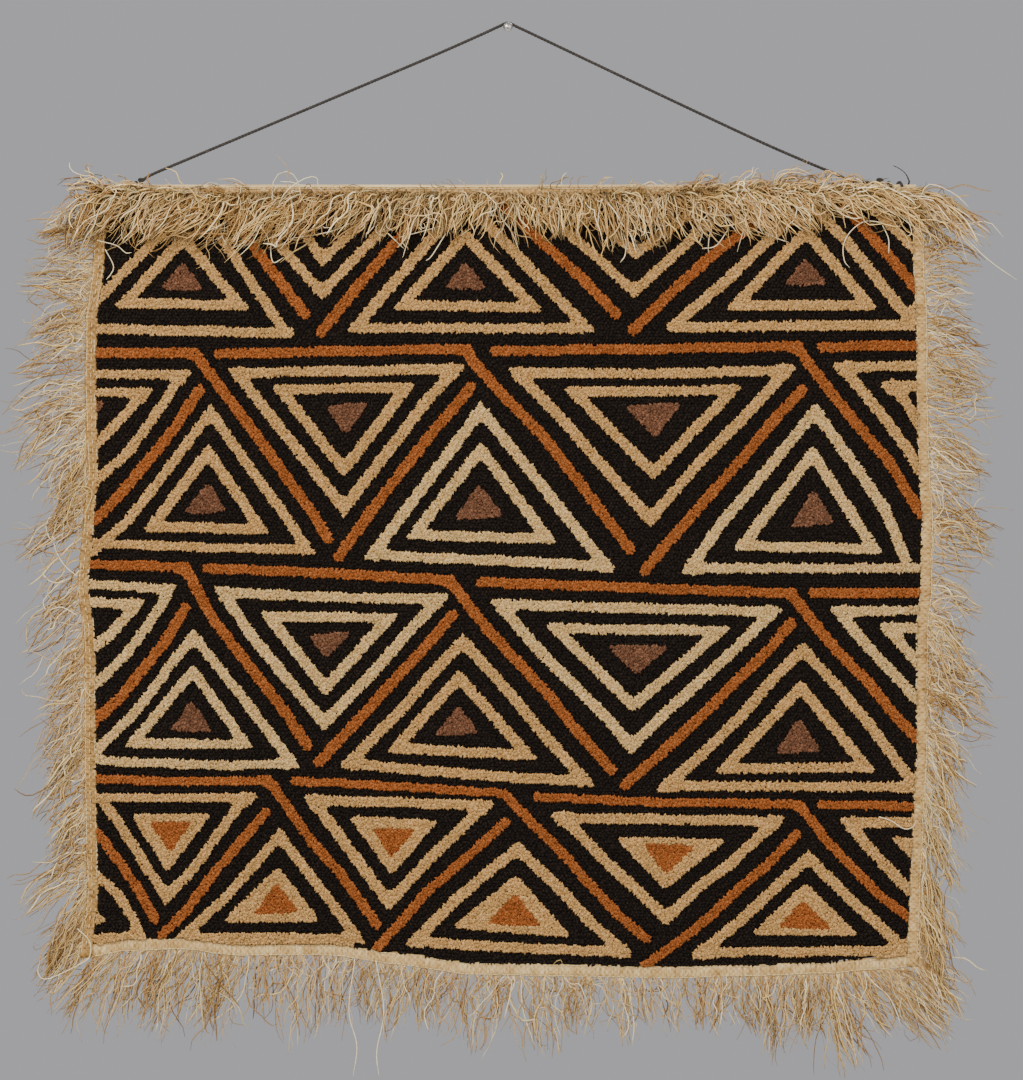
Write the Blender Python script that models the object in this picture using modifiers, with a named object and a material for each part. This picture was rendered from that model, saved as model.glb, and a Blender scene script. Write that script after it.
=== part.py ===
"""Kuba cut-pile raffia cloth on a pale wooden lath, hung by a dark string over a wall pin.

The origin is the flat back end of the pin, on the wall's plane. +Z is up and the cloth's
face looks along -Y. Sizes are in millimetres until a mesh or a curve takes them.
"""
import math
import random

import bmesh
import bpy
from mathutils import Vector

MM = 0.001
SEAT = 0.4  # clearance between pieces that touch
EASE = 0.6  # how much a table's values are rounded between its rows
SHARP = 50  # degrees past which an edge stays crisp
JOIN = 0.00001  # metres within which the ends of a turned or swept piece are joined

# Cloth
CLOTH_THICK = 3.0  # woven ground with its cut pile
CLOTH_DEPTH = 10.0  # from the wall to the middle of the cloth
TOP_LEVEL = -116.0  # upper edge of the top band
TOP_BAND = 10.0
EDGE_BAND = 8.0  # width of the woven bands at the sides and the bottom
PANEL_ACROSS = 24  # steps of the panel's grid
PANEL_DOWN = 20

# Rod
ROD_LEFT = -278.0
ROD_RIGHT = 291.0
ROD_TOP = -112.0
ROD_HEIGHT = 8.0
ROD_DEEP = 5.0
ROD_BACK = -3.2
ROD_ROUND = 1.5

# String
STRING_THICK = 2.4
KNOT_SIZE = 5.0
KNOTS = {"left": -261.6, "right": 265.4}  # x of each, on top of the rod
# Lashings: x of the first turn and of the last, and how many turns
LASHINGS = {"left": (-265.2, -272.6, 2), "right": (271.2, 286.2, 1.9)}
LASH_POINTS = 16  # for each turn
LASH_SQUARE = 0.5  # power that squares the turn to the rod

# Pin
PIN_RADIUS = 1.6
PIN_HEAD_RADIUS = 3.4
PIN_NECK = 10.6
PIN_LENGTH = 13.2
PIN_STEPS = 20
# Domed head: share of its radius, and how far back from its face as a share of its height
PIN_DOME = {"radius": (0, 0.55, 0.88, 1, 0.95), "back": (0, 0.12, 0.42, 0.8, 1)}

# Cloth sides: level below the pin, x of the outer edge on the left and on the right
SIDES = {
    "level": (-116, -170, -210, -246, -287, -319, -349, -398, -431, -458, -513, -570, -616, -663),
    "left": (-294, -296, -301, -302, -301, -300, -303, -307, -303, -302, -302, -301, -300, -305),
    "right": (296, 297, 299, 299, 300, 301, 303, 302, 299, 299, 299, 296, 294, 292),
}
# Cloth's lower edge: x and level
HEM = {
    "x": (-300, -270, -235, -191, -127, -80, -26, 44, 115, 170, 227, 256, 292),
    "level": (-663, -658, -657, -662, -662, -668, -675, -676, -678, -677, -675, -672, -669),
}
# Soft folds, which grow from the rod to the hem: x of the crest, half width, and how far the
# crest stands forward at the hem
FOLDS = {
    "x": (-240, -125, 20, 150, 262),
    "wide": (58, 50, 85, 50, 42),
    "hem": (5.5, -3.0, 4.5, -2.5, 5.0),
}
FOLD_GROWTH = 1.3
# Fringes: place along the edge, heading of a lock at the root and the tip, length, and how full
# it is. A heading of 180 points left and 270 down, as seen from the front.
LEFT_FRINGE = {
    "at": (-126, -172, -210, -242, -268, -300, -330, -375, -405, -455, -500, -545, -590, -630, -663),
    "root": (185, 186, 184, 176, 182, 200, 205, 205, 212, 215, 205, 195, 200, 215, 225),
    "tip": (200, 192, 200, 190, 208, 222, 228, 222, 238, 240, 228, 228, 232, 240, 232),
    "long": (40, 54, 52, 50, 60, 56, 58, 34, 44, 52, 56, 48, 50, 52, 50),
    "full": (0.4, 1, 1, 0.8, 1, 1, 1, 0.4, 0.8, 1, 1, 0.8, 1, 1, 0.8),
}
RIGHT_FRINGE = {
    "at": (-126, -165, -200, -235, -270, -310, -345, -378, -420, -470, -520, -560, -600, -640, -669),
    "root": (5, 8, 2, 0, -4, -14, -22, -18, -20, -14, -16, -32, -38, -36, -36),
    "tip": (-30, -38, -14, -22, -30, -38, -42, -32, -36, -34, -44, -62, -64, -58, -56),
    "long": (36, 44, 46, 55, 50, 54, 60, 38, 54, 55, 58, 58, 54, 54, 52),
    "full": (0.3, 0.8, 0.5, 1, 0.6, 0.9, 1, 0.4, 1, 1, 1, 1, 1, 1, 1),
}
BOTTOM_FRINGE = {
    "at": (-297, -265, -225, -180, -130, -100, -20, 50, 100, 130, 170, 215, 255, 284),
    "root": (238, 240, 245, 244, 250, 262, 268, 270, 272, 274, 276, 284, 296, 304),
    "tip": (234, 242, 250, 256, 262, 270, 272, 268, 274, 276, 276, 288, 304, 308),
    "long": (54, 52, 50, 52, 52, 76, 50, 54, 42, 38, 48, 50, 56, 56),
    "full": (1, 1, 1, 1, 1, 1, 1, 1, 0.7, 0.4, 0.9, 1, 1, 1),
}
TOP_FRINGE = {
    "at": (-298, -265, -220, -160, -100, -40, 20, 80, 130, 175, 215, 250, 275, 300),
    "root": (204, 210, 222, 230, 236, 250, 278, 288, 300, 322, 336, 341, 342, 340),
    "tip": (236, 238, 240, 236, 244, 262, 276, 284, 296, 300, 306, 312, 316, 320),
    "long": (74, 56, 46, 44, 42, 40, 38, 38, 44, 50, 56, 62, 66, 64),
    "full": (1, 1, 1, 1, 1, 1, 1, 1, 1, 1, 1, 1, 1, 1),
}
LOCKS = {"left": 56, "right": 56, "bottom": 66, "top": 64}
OUTWARD = {"left": 180, "right": 0, "bottom": 270}
SEEDS = {"left": 41, "right": 7, "bottom": 23, "top": 12}
LOCK_ROOT_SHARE = 0.5  # part of the pitch that a lock's root fills
LOCK_STRAY = 0.16  # share of the pitch by which the roots are unevenly set
LOCK_WIDE = (2.8, 4.2)  # narrowest and widest lock just past its root
LOCK_TIP = 1.4
LOCK_DEEP = 1.5
LOCK_STEP_OUT = 2.5  # the first stretch leaves the band squarely
LOCK_STEPS = 3
SQUARE_ON = 0.7  # how squarely a lock's root face looks out of the band
LOCK_DRIFT = 0.05  # how fast every second lock leaves the cloth's plane, forward or back
TOP_LAYERS = (3.6, 6.4)  # how far forward of the band the two layers of the top fringe hang
SWAY = 7.0  # degrees by which locks differ
SPREAD = 0.15  # share by which their lengths differ

# Where the string ties round the rod the top band is notched: x range of each notch
NOTCHES = ((-276.0, -261.0), (266.0, 289.0))
NOTCH_LEVEL = -123.7
NOTCH_MARGIN = 3.0  # no lock grows this close to a notch
TOP_ROW = 0.62  # height in the top band above which its locks grow

ACROSS = Vector((1, 0, 0))
THROUGH = Vector((0, 1, 0))
UP = Vector((0, 0, 1))
# For each band: the way its locks leave it, along its length, and through its thickness
LOCK_AXES = {
    "left": (-ACROSS, UP, THROUGH),
    "right": (ACROSS, UP, THROUGH),
    "bottom": (-UP, ACROSS, THROUGH),
    "top": (-THROUGH, ACROSS, UP),
}

# String over the pin: x, depth in front of the wall and level, from the left knot to the right
STRING_ROUTE = (
    (-258.6, 5.7, -107.4), (-252.0, 5.8, -103.8), (-225.0, 6.0, -92.4), (-170.0, 6.6, -69.4),
    (-110.0, 7.2, -44.2), (-55.0, 7.8, -21.0), (-20.0, 8.0, -5.6), (-7.0, 8.0, 0.4),
    (0.0, 8.0, 3.1), (7.0, 8.0, 0.1), (20.0, 8.0, -6.0), (60.0, 7.7, -25.0),
    (120.0, 7.0, -53.4), (180.0, 6.4, -81.4), (215.0, 6.0, -96.6), (232.0, 5.8, -103.6),
    (244.0, 5.7, -109.0), (254.0, 5.7, -110.3), (262.0, 5.7, -110.4),
)
STRING_POINTS = 73  # closest together where it bends over the pin
TAIL_POINTS = 8
# Free tail of the right lashing, from its last turn
TAIL_ROUTE = ((286.4, 5.4, -109.6), (284.0, 5.2, -104.5), (279.5, 5.0, -100.5), (275.0, 4.8, -98.3))


def smooth(places, values, at):
    """Value at a place, eased between the rows of a table whose places rise or fall."""
    if places[0] > places[-1]:
        places = places[::-1]
        values = values[::-1]
    if at <= places[0]:
        return values[0]
    for low, high, start, end in zip(places, places[1:], values, values[1:]):
        if at <= high:
            share = (at - low) / (high - low)
            eased = share * share * (3 - 2 * share)
            return start + (end - start) * ((1 - EASE) * share + EASE * eased)
    return values[-1]


def cloth_depth(x, down):
    """How far the middle of the cloth stands from the wall, down from 0 at the top to 1."""
    depth = CLOTH_DEPTH
    for crest, wide, hem in zip(*FOLDS.values()):
        depth += hem * math.exp(-(((x - crest) / wide) ** 2)) * down ** FOLD_GROWTH
    return depth


def panel_point(across, down):
    """Point of the panel's middle surface, both shares from 0 to 1."""
    rough_x = SIDES["left"][0] + across * (SIDES["right"][0] - SIDES["left"][0])
    top = TOP_LEVEL - TOP_BAND - SEAT
    low = smooth(HEM["x"], HEM["level"], rough_x) + EDGE_BAND + SEAT
    level = top + down * (low - top)
    left = smooth(SIDES["level"], SIDES["left"], level) + EDGE_BAND + SEAT
    right = smooth(SIDES["level"], SIDES["right"], level) - EDGE_BAND - SEAT
    x = left + across * (right - left)
    return Vector((x, -cloth_depth(x, down), level))


def along(points, place):
    """Point on a chain of points, at a share of its length."""
    spans = [(second - first).length for first, second in zip(points, points[1:])]
    left_over = place * sum(spans)
    for number, span in enumerate(spans):
        if left_over <= span:
            return points[number].lerp(points[number + 1], left_over / span)
        left_over -= span
    return points[-1].copy()


def clear_scene():
    for item in list(bpy.data.objects):
        bpy.data.objects.remove(item, do_unlink=True)
    for group in list(bpy.data.collections):
        bpy.data.collections.remove(group)


def finish_material(name, color, rough, metal=0.0):
    material = bpy.data.materials.new(name)
    material.use_nodes = True
    shader = material.node_tree.nodes["Principled BSDF"]
    shader.inputs["Base Color"].default_value = (*color, 1.0)
    shader.inputs["Roughness"].default_value = rough
    shader.inputs["Metallic"].default_value = metal
    return material


def add_piece(name, data, material, group):
    piece = bpy.data.objects.new(name, data)
    data.materials.append(material)
    group.objects.link(piece)
    return piece


def mesh_from(bm, name):
    """Closes a millimetre bmesh into a mesh in metres with its faces outward."""
    bmesh.ops.recalc_face_normals(bm, faces=bm.faces)
    bmesh.ops.scale(bm, vec=(MM, MM, MM), verts=bm.verts)
    mesh = bpy.data.meshes.new(name)
    bm.to_mesh(mesh)
    bm.free()
    mesh.shade_smooth()
    mesh.set_sharp_from_angle(angle=math.radians(SHARP))
    return mesh


def make_panel(group):
    bm = bmesh.new()
    bmesh.ops.create_grid(bm, x_segments=PANEL_ACROSS, y_segments=PANEL_DOWN, size=0.5)
    for vert in bm.verts:
        vert.co = panel_point(vert.co.x + 0.5, 0.5 - vert.co.y)
    back = bmesh.ops.extrude_face_region(bm, geom=bm.faces[:])
    moved = [item for item in back["geom"] if isinstance(item, bmesh.types.BMVert)]
    bmesh.ops.translate(bm, vec=(0, CLOTH_THICK, 0), verts=moved)
    bmesh.ops.translate(bm, vec=(0, -CLOTH_THICK / 2, 0), verts=bm.verts)
    material = finish_material("cut_pile_raffia", (0.30, 0.17, 0.08), 0.9)
    add_piece("cloth_panel", mesh_from(bm, "cloth_panel"), material, group)


def panel_side(name):
    """The panel's edge on one side, as a chain of points from the left or from the top."""
    if name == "left":
        return [panel_point(0, row / PANEL_DOWN) for row in range(PANEL_DOWN + 1)]
    if name == "right":
        return [panel_point(1, row / PANEL_DOWN) for row in range(PANEL_DOWN + 1)]
    if name == "bottom":
        return [panel_point(step / PANEL_ACROSS, 1) for step in range(PANEL_ACROSS + 1)]
    return [panel_point(step / PANEL_ACROSS, 0) for step in range(PANEL_ACROSS + 1)]


def notched(x):
    return any(low <= x <= high for low, high in NOTCHES)


def band_point(name, chain, place, out):
    """Point of a band's middle surface: place runs along it, out from the panel to its rim."""
    base = along(chain, place)
    wide = SEAT + out * EDGE_BAND
    if name == "left":
        return base + Vector((-wide, 0, 0))
    if name == "right":
        return base + Vector((wide, 0, 0))
    if name == "bottom":
        return base + Vector((0, 0, -wide))
    rim = NOTCH_LEVEL if notched(base.x) else TOP_LEVEL
    level = base.z + SEAT + out * (rim - base.z - SEAT)
    return Vector((base.x, -CLOTH_DEPTH, level))


def band_chain(name):
    """The panel's edge, run on past the corners that the band covers."""
    chain = panel_side(name)
    corner = EDGE_BAND + SEAT
    if name in ("left", "right"):
        chain.append(chain[-1] + Vector((0, 0, -corner)))
    if name == "top":
        chain.insert(0, chain[0] + Vector((-corner, 0, 0)))
        chain.append(chain[-1] + Vector((corner, 0, 0)))
    return chain


def lock_marks(count, dice):
    """Shares along a band where its cells end: a bare cell and a lock's cell, by turns."""
    pitch = 1 / count
    marks = [0.0]
    for number in range(count):
        middle = (number + 0.5 + dice.uniform(-LOCK_STRAY, LOCK_STRAY)) * pitch
        marks.append(middle - pitch * LOCK_ROOT_SHARE / 2)
        marks.append(middle + pitch * LOCK_ROOT_SHARE / 2)
    marks.append(1.0)
    return marks


def heading(degrees):
    angle = math.radians(degrees)
    return Vector((math.cos(angle), 0, math.sin(angle)))


def lock_path(name, root, place, number, table, dice):
    """Points of one lock, from the table's headings and length at its place."""
    start = smooth(table["at"], table["root"], place) + dice.uniform(-SWAY, SWAY)
    end = smooth(table["at"], table["tip"], place) + dice.uniform(-SWAY, SWAY)
    length = smooth(table["at"], table["long"], place) * (1 + dice.uniform(-SPREAD, SPREAD))
    if name == "top":
        points = [root, root + Vector((0, -TOP_LAYERS[number % 2], 0))]
        drift = Vector((0, 0, 0))
    else:
        points = [root, root + heading(OUTWARD[name]) * LOCK_STEP_OUT]
        drift = Vector((0, LOCK_DRIFT if number % 2 else -LOCK_DRIFT, 0))
    for step in range(LOCK_STEPS):
        angle = start + (end - start) * (step + 0.5) / LOCK_STEPS
        points.append(points[-1] + (heading(angle) + drift) * (length / LOCK_STEPS))
    return points


def grow_lock(bm, face, points, root_wide, along_axis, through_axis):
    """Extrudes a root face along the points, turning its section with them."""
    centre = face.calc_center_median()
    section = []
    for vert in face.verts:
        offset = vert.co - centre
        side_a = math.copysign(1, offset.dot(along_axis))
        side_b = math.copysign(1, offset.dot(through_axis))
        section.append((vert.co.copy(), side_a, side_b))
    wide_axis = along_axis.copy()
    deep_axis = through_axis.copy()
    before = (points[1] - points[0]).normalized()
    for number in range(1, len(points)):
        if number < len(points) - 1:
            ahead = (points[number + 1] - points[number - 1]).normalized()
        else:
            ahead = (points[number] - points[number - 1]).normalized()
        turn = before.rotation_difference(ahead)
        wide_axis.rotate(turn)
        deep_axis.rotate(turn)
        before = ahead
        share = (number - 1) / (len(points) - 2)
        wide = root_wide + (LOCK_TIP - root_wide) * share
        deep = LOCK_DEEP + (LOCK_TIP - LOCK_DEEP) * share
        face = bmesh.ops.extrude_discrete_faces(bm, faces=[face])["faces"][0]
        moved = []
        for vert in face.verts:
            _, a, b = min(section, key=lambda corner: (corner[0] - vert.co).length)
            spot = points[number] + wide_axis * (a * wide / 2) + deep_axis * (b * deep / 2)
            moved.append((spot, a, b))
        for vert, corner in zip(face.verts, moved):
            vert.co = corner[0]
        section = moved


def make_fringe(name, table, group, material):
    """One woven band with the locks that grow from its rim, or from its face along the top."""
    dice = random.Random(SEEDS[name])
    chain = band_chain(name)
    marks = lock_marks(LOCKS[name], dice)
    facing, along_axis, through_axis = LOCK_AXES[name]
    bm = bmesh.new()
    rows = 2 if name == "top" else 1
    bmesh.ops.create_grid(bm, x_segments=len(marks) - 1, y_segments=rows, size=0.5)
    cells = len(marks) - 1
    for vert in bm.verts:
        mark = marks[round((vert.co.x + 0.5) * cells)]
        out = vert.co.y + 0.5
        if rows == 2 and round(out * 2) == 1:
            out = TOP_ROW
        vert.co = band_point(name, chain, mark, out)
        vert.co.y -= CLOTH_THICK / 2
    back = bmesh.ops.extrude_face_region(bm, geom=bm.faces[:])
    moved = [item for item in back["geom"] if isinstance(item, bmesh.types.BMVert)]
    bmesh.ops.translate(bm, vec=(0, CLOTH_THICK, 0), verts=moved)
    bmesh.ops.recalc_face_normals(bm, faces=bm.faces)
    bm.faces.ensure_lookup_table()
    for number in range(LOCKS[name]):
        middle = (marks[2 * number + 1] + marks[2 * number + 2]) / 2
        target = band_point(name, chain, middle, 1.0)
        place = target.z if name in ("left", "right") else target.x
        if dice.random() > smooth(table["at"], table["full"], place):
            continue
        if name == "top":
            if notched(target.x - NOTCH_MARGIN) or notched(target.x + NOTCH_MARGIN):
                continue
            target = band_point(name, chain, middle, (1 + TOP_ROW) / 2)
            target.y -= CLOTH_THICK / 2
        near = [face for face in bm.faces if face.normal.dot(facing) > SQUARE_ON]
        root = min(near, key=lambda face: (face.calc_center_median() - target).length)
        points = lock_path(name, root.calc_center_median(), place, number, table, dice)
        grow_lock(bm, root, points, dice.uniform(*LOCK_WIDE), along_axis, through_axis)
        bm.faces.ensure_lookup_table()
    add_piece("fringe_" + name, mesh_from(bm, "fringe_" + name), material, group)


def make_rod(group):
    bm = bmesh.new()
    bmesh.ops.create_cube(bm, size=1.0)
    size = Vector((ROD_RIGHT - ROD_LEFT, ROD_DEEP, ROD_HEIGHT))
    bmesh.ops.scale(bm, vec=size, verts=bm.verts)
    middle = ((ROD_LEFT + ROD_RIGHT) / 2, ROD_BACK - ROD_DEEP / 2, ROD_TOP - ROD_HEIGHT / 2)
    bmesh.ops.translate(bm, vec=middle, verts=bm.verts)
    long_edges = [edge for edge in bm.edges if edge.calc_length() > ROD_HEIGHT * 2]
    bmesh.ops.bevel(
        bm, geom=long_edges, offset=ROD_ROUND, offset_type="OFFSET", segments=3,
        profile=0.5, affect="EDGES", material=-1,
    )
    material = finish_material("pale_wood_lath", (0.72, 0.55, 0.36), 0.6)
    add_piece("hanging_rod", mesh_from(bm, "hanging_rod"), material, group)


def spline_through(route, count):
    """Points on a smooth curve through a route's own points."""
    knots = [Vector(point) for point in route]
    knots = [knots[0] * 2 - knots[1]] + knots + [knots[-1] * 2 - knots[-2]]
    spans = len(knots) - 3
    points = []
    for step in range(count):
        where = step / (count - 1) * spans
        first = min(int(where), spans - 1)
        share = where - first
        a, b, c, d = knots[first:first + 4]
        points.append(
            (b * 2 + (c - a) * share + (a * 2 - b * 5 + c * 4 - d) * share ** 2
             + (b * 3 - a - c * 3 + d) * share ** 3) / 2
        )
    return points


def wall_space(point):
    """A route gives the depth in front of the wall, which is -Y here."""
    return Vector((point[0], -point[1], point[2]))


def make_tube(name, points, group, material):
    curve = bpy.data.curves.new(name, "CURVE")
    curve.dimensions = "3D"
    curve.bevel_depth = STRING_THICK / 2 * MM
    curve.bevel_resolution = 2
    curve.use_fill_caps = True
    line = curve.splines.new("POLY")
    line.points.add(len(points) - 1)
    for slot, point in zip(line.points, points):
        slot.co = (*(point * MM), 1.0)
    tube = add_piece(name, curve, material, group)
    weld = tube.modifiers.new("Weld caps", "WELD")
    weld.merge_threshold = JOIN


def lash_points(first_x, last_x, turns):
    """A winding round the rod, squared to its section, from its top towards its end."""
    middle_y = ROD_BACK - ROD_DEEP / 2
    middle_z = ROD_TOP - ROD_HEIGHT / 2
    reach = SEAT + STRING_THICK / 2
    half_deep = ROD_DEEP / 2 + reach
    half_high = ROD_HEIGHT / 2 + reach
    points = []
    steps = int(LASH_POINTS * turns)
    for step in range(steps + 1):
        angle = 2 * math.pi * turns * step / steps
        sine = math.sin(angle)
        cosine = math.cos(angle)
        y = middle_y - half_deep * math.copysign(abs(sine) ** LASH_SQUARE, sine)
        z = middle_z + half_high * math.copysign(abs(cosine) ** LASH_SQUARE, cosine)
        points.append(Vector((first_x + (last_x - first_x) * step / steps, y, z)))
    return points


def make_knot(name, x, group, material):
    bm = bmesh.new()
    bmesh.ops.create_uvsphere(bm, u_segments=12, v_segments=8, radius=KNOT_SIZE / 2)
    rest = (x, ROD_BACK - ROD_DEEP / 2, ROD_TOP + SEAT + KNOT_SIZE / 2)
    bmesh.ops.translate(bm, vec=rest, verts=bm.verts)
    add_piece(name, mesh_from(bm, name), material, group)


def make_string(group):
    material = finish_material("dark_twisted_string", (0.035, 0.030, 0.026), 0.85)
    route = [wall_space(point) for point in STRING_ROUTE]
    make_tube("hanging_string", spline_through(route, STRING_POINTS), group, material)
    tail = spline_through([wall_space(point) for point in TAIL_ROUTE], TAIL_POINTS)
    for side, free_end in (("left", []), ("right", tail)):
        make_tube(side + "_lashing", lash_points(*LASHINGS[side]) + free_end, group, material)
        make_knot(side + "_knot", KNOTS[side], group, material)


def make_pin(group):
    """Turned round the axis that stands out of the wall, from the head back to the wall."""
    head = PIN_LENGTH - PIN_NECK
    dome = zip(PIN_DOME["radius"], PIN_DOME["back"])
    outline = [(PIN_HEAD_RADIUS * wide, PIN_LENGTH - head * back) for wide, back in dome]
    outline += [(PIN_RADIUS, PIN_NECK), (PIN_RADIUS, 0), (0, 0)]
    bm = bmesh.new()
    verts = [bm.verts.new((radius * MM, 0, height * MM)) for radius, height in outline]
    for first, second in zip(verts, verts[1:]):
        bm.edges.new((first, second))
    mesh = bpy.data.meshes.new("wall_pin")
    bm.to_mesh(mesh)
    bm.free()
    material = finish_material("bright_steel", (0.75, 0.74, 0.72), 0.25, 1.0)
    pin = add_piece("wall_pin", mesh, material, group)
    pin.rotation_euler = (math.radians(90), 0, 0)
    turn = pin.modifiers.new("Turn", "SCREW")
    turn.axis = "Z"
    turn.angle = math.radians(360)
    turn.steps = PIN_STEPS
    turn.render_steps = PIN_STEPS
    turn.use_merge_vertices = True
    turn.merge_threshold = JOIN


def main():
    clear_scene()
    group = bpy.data.collections.new("kuba_raffia_cloth")
    bpy.context.scene.collection.children.link(group)
    make_panel(group)
    raffia = finish_material("raw_raffia", (0.62, 0.44, 0.22), 0.7)
    make_fringe("left", LEFT_FRINGE, group, raffia)
    make_fringe("right", RIGHT_FRINGE, group, raffia)
    make_fringe("bottom", BOTTOM_FRINGE, group, raffia)
    make_fringe("top", TOP_FRINGE, group, raffia)
    make_rod(group)
    make_string(group)
    make_pin(group)


main()
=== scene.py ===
"""Looks of the kuba cut-pile raffia cloth that hangs from its lath by a dark string.

Sizes are in millimetres, x to the right, depth in front of the wall, level above the pin,
until place() turns them into metres. The pattern is charted in the photograph's pixels.
"""
import math

import bmesh
import bpy
import numpy as np
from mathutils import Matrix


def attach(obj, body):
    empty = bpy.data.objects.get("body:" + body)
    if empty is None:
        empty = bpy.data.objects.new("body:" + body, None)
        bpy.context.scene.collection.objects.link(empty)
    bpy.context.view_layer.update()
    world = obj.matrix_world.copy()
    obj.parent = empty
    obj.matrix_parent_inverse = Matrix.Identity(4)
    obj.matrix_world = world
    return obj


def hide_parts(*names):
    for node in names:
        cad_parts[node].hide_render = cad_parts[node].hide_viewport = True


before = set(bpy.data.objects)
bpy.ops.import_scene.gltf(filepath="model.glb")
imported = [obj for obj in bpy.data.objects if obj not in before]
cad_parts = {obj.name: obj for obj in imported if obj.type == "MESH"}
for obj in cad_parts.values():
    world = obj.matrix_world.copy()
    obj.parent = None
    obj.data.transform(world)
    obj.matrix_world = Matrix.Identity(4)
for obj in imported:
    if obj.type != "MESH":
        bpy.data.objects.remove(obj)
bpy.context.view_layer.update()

MM = 0.001
PIXEL = 0.7126  # millimetres for each pixel of the photograph
PIN_AT = (508, 27)  # the pin in the photograph
PICTURE = (1023, 1080)
SEAT = 0.4

CLOTH_DEPTH = 10.0
TOP_LEVEL = -116.0
TOP_BAND = 10.0
EDGE_BAND = 8.0
PANEL_TOP = TOP_LEVEL - TOP_BAND - SEAT
SIDES = {
    "level": (-663, -616, -570, -513, -458, -431, -398, -349, -319, -287, -246, -210, -170, -116),
    "left": (-305, -300, -301, -302, -302, -303, -307, -303, -300, -301, -302, -301, -296, -294),
    "right": (292, 294, 296, 299, 299, 299, 302, 303, 301, 300, 299, 299, 297, 296),
}
HEM = {
    "x": (-300, -270, -235, -191, -127, -80, -26, 44, 115, 170, 227, 256, 292),
    "level": (-663, -658, -657, -662, -662, -668, -675, -676, -678, -677, -675, -672, -669),
}
FOLDS = {
    "x": (-240, -125, 20, 150, 262),
    "wide": (58, 50, 85, 50, 42),
    "hem": (5.5, -3.0, 4.5, -2.5, 5.0),
}
FOLD_GROWTH = 1.3
EASE = 0.6
# Soft creases in the sheet: two ends, half width, and height (a trough is negative)
CREASES = (
    ((-292, -398), (-120, -372), 16, 0.9), ((110, -392), (296, -398), 18, 0.8),
    ((-290, -545), (-170, -556), 14, 0.7), ((40, -520), (200, -548), 20, -0.7),
    ((-60, -660), (-40, -560), 12, -0.9), ((120, -668), (140, -560), 13, 0.8),
    ((-300, -180), (-180, -300), 22, 0.6), ((296, -200), (180, -320), 20, -0.6),
)


def photo(px, py):
    """Millimetres from the pin for a point of the photograph."""
    return (px - PIN_AT[0]) * PIXEL, (PIN_AT[1] - py) * PIXEL


def eased(places, values, at):
    """Table value at each place, rounded between its rows as in the solids."""
    places = np.asarray(places, float)
    values = np.asarray(values, float)
    at = np.clip(at, places[0], places[-1])
    row = np.clip(np.searchsorted(places, at) - 1, 0, len(places) - 2)
    share = (at - places[row]) / (places[row + 1] - places[row])
    soft = share * share * (3 - 2 * share)
    return values[row] + (values[row + 1] - values[row]) * ((1 - EASE) * share + EASE * soft)


def side_edge(side, level):
    return eased(SIDES["level"], SIDES[side], level)


def low_edge(x):
    return eased(HEM["x"], HEM["level"], x)


def cloth_depth(x, level):
    """How far the middle of the cloth stands from the wall, with its folds and creases."""
    down = np.clip((PANEL_TOP - level) / (PANEL_TOP - low_edge(x) - EDGE_BAND), 0, 1)
    depth = np.full(np.shape(x), CLOTH_DEPTH)
    for crest, wide, hem in zip(*FOLDS.values()):
        depth = depth + hem * np.exp(-(((x - crest) / wide) ** 2)) * down ** FOLD_GROWTH
    for (x0, z0), (x1, z1), wide, high in CREASES:
        run = (x1 - x0) ** 2 + (z1 - z0) ** 2
        share = np.clip(((x - x0) * (x1 - x0) + (level - z0) * (z1 - z0)) / run, 0, 1)
        away = np.hypot(x - x0 - share * (x1 - x0), level - z0 - share * (z1 - z0))
        depth = depth + high * np.exp(-(away / wide) ** 2)
    return depth


def place(points):
    """Points of x, depth and level in millimetres, as row coordinates in metres."""
    points = np.asarray(points, float)
    return np.stack((points[..., 0], -points[..., 1], points[..., 2]), -1) * MM


# Camera, on the photograph's axis and far enough back that depth hardly shows
CAMERA_AWAY = 3.0
SENSOR = 24.0


def set_camera():
    middle_x, middle_z = photo(PICTURE[0] / 2, PICTURE[1] / 2)
    data = bpy.data.cameras.new("front_camera")
    data.sensor_fit = "VERTICAL"
    data.sensor_height = SENSOR
    data.lens = SENSOR * (CAMERA_AWAY - CLOTH_DEPTH * MM) / (PICTURE[1] * PIXEL * MM)
    camera = bpy.data.objects.new("front_camera", data)
    camera.location = (middle_x * MM, -CAMERA_AWAY, middle_z * MM)
    camera.rotation_euler = (math.radians(90), 0, 0)
    bpy.context.scene.collection.objects.link(camera)
    bpy.context.scene.camera = camera


set_camera()


# Materials
COLOR_A, COLOR_B, COLOR_OUT = 6, 7, 2  # the mix node's colour sockets
MIXED = {"data_type": "RGBA"}
MULTIPLIED = {"data_type": "RGBA", "blend_type": "MULTIPLY"}
GROUND_PITCH = 1.6  # between the threads of the ground
BAND_PITCH = 2.1


def tone(code):
    """sRGB hex to linear red, green and blue."""
    parts = [int(code[step:step + 2], 16) / 255 for step in (1, 3, 5)]
    return tuple(c / 12.92 if c <= 0.04045 else ((c + 0.055) / 1.055) ** 2.4 for c in parts)


def add(tree, kind, settings=None, links=None, stops=()):
    """Adds a node. Links take a socket or a plain value; stops are a ramp's places and tones."""
    made = tree.nodes.new("ShaderNode" + kind)
    for name, value in (settings or {}).items():
        setattr(made, name, value)
    for name, value in (links or {}).items():
        if isinstance(value, bpy.types.NodeSocket):
            tree.links.new(value, made.inputs[name])
        else:
            made.inputs[name].default_value = value
    while len(stops) > len(made.color_ramp.elements if stops else ()):
        made.color_ramp.elements.new(0.5)
    for number, (spot, code) in enumerate(stops):
        made.color_ramp.elements[number].position = spot
        made.color_ramp.elements[number].color = (*tone(code), 1)
    return made


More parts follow.
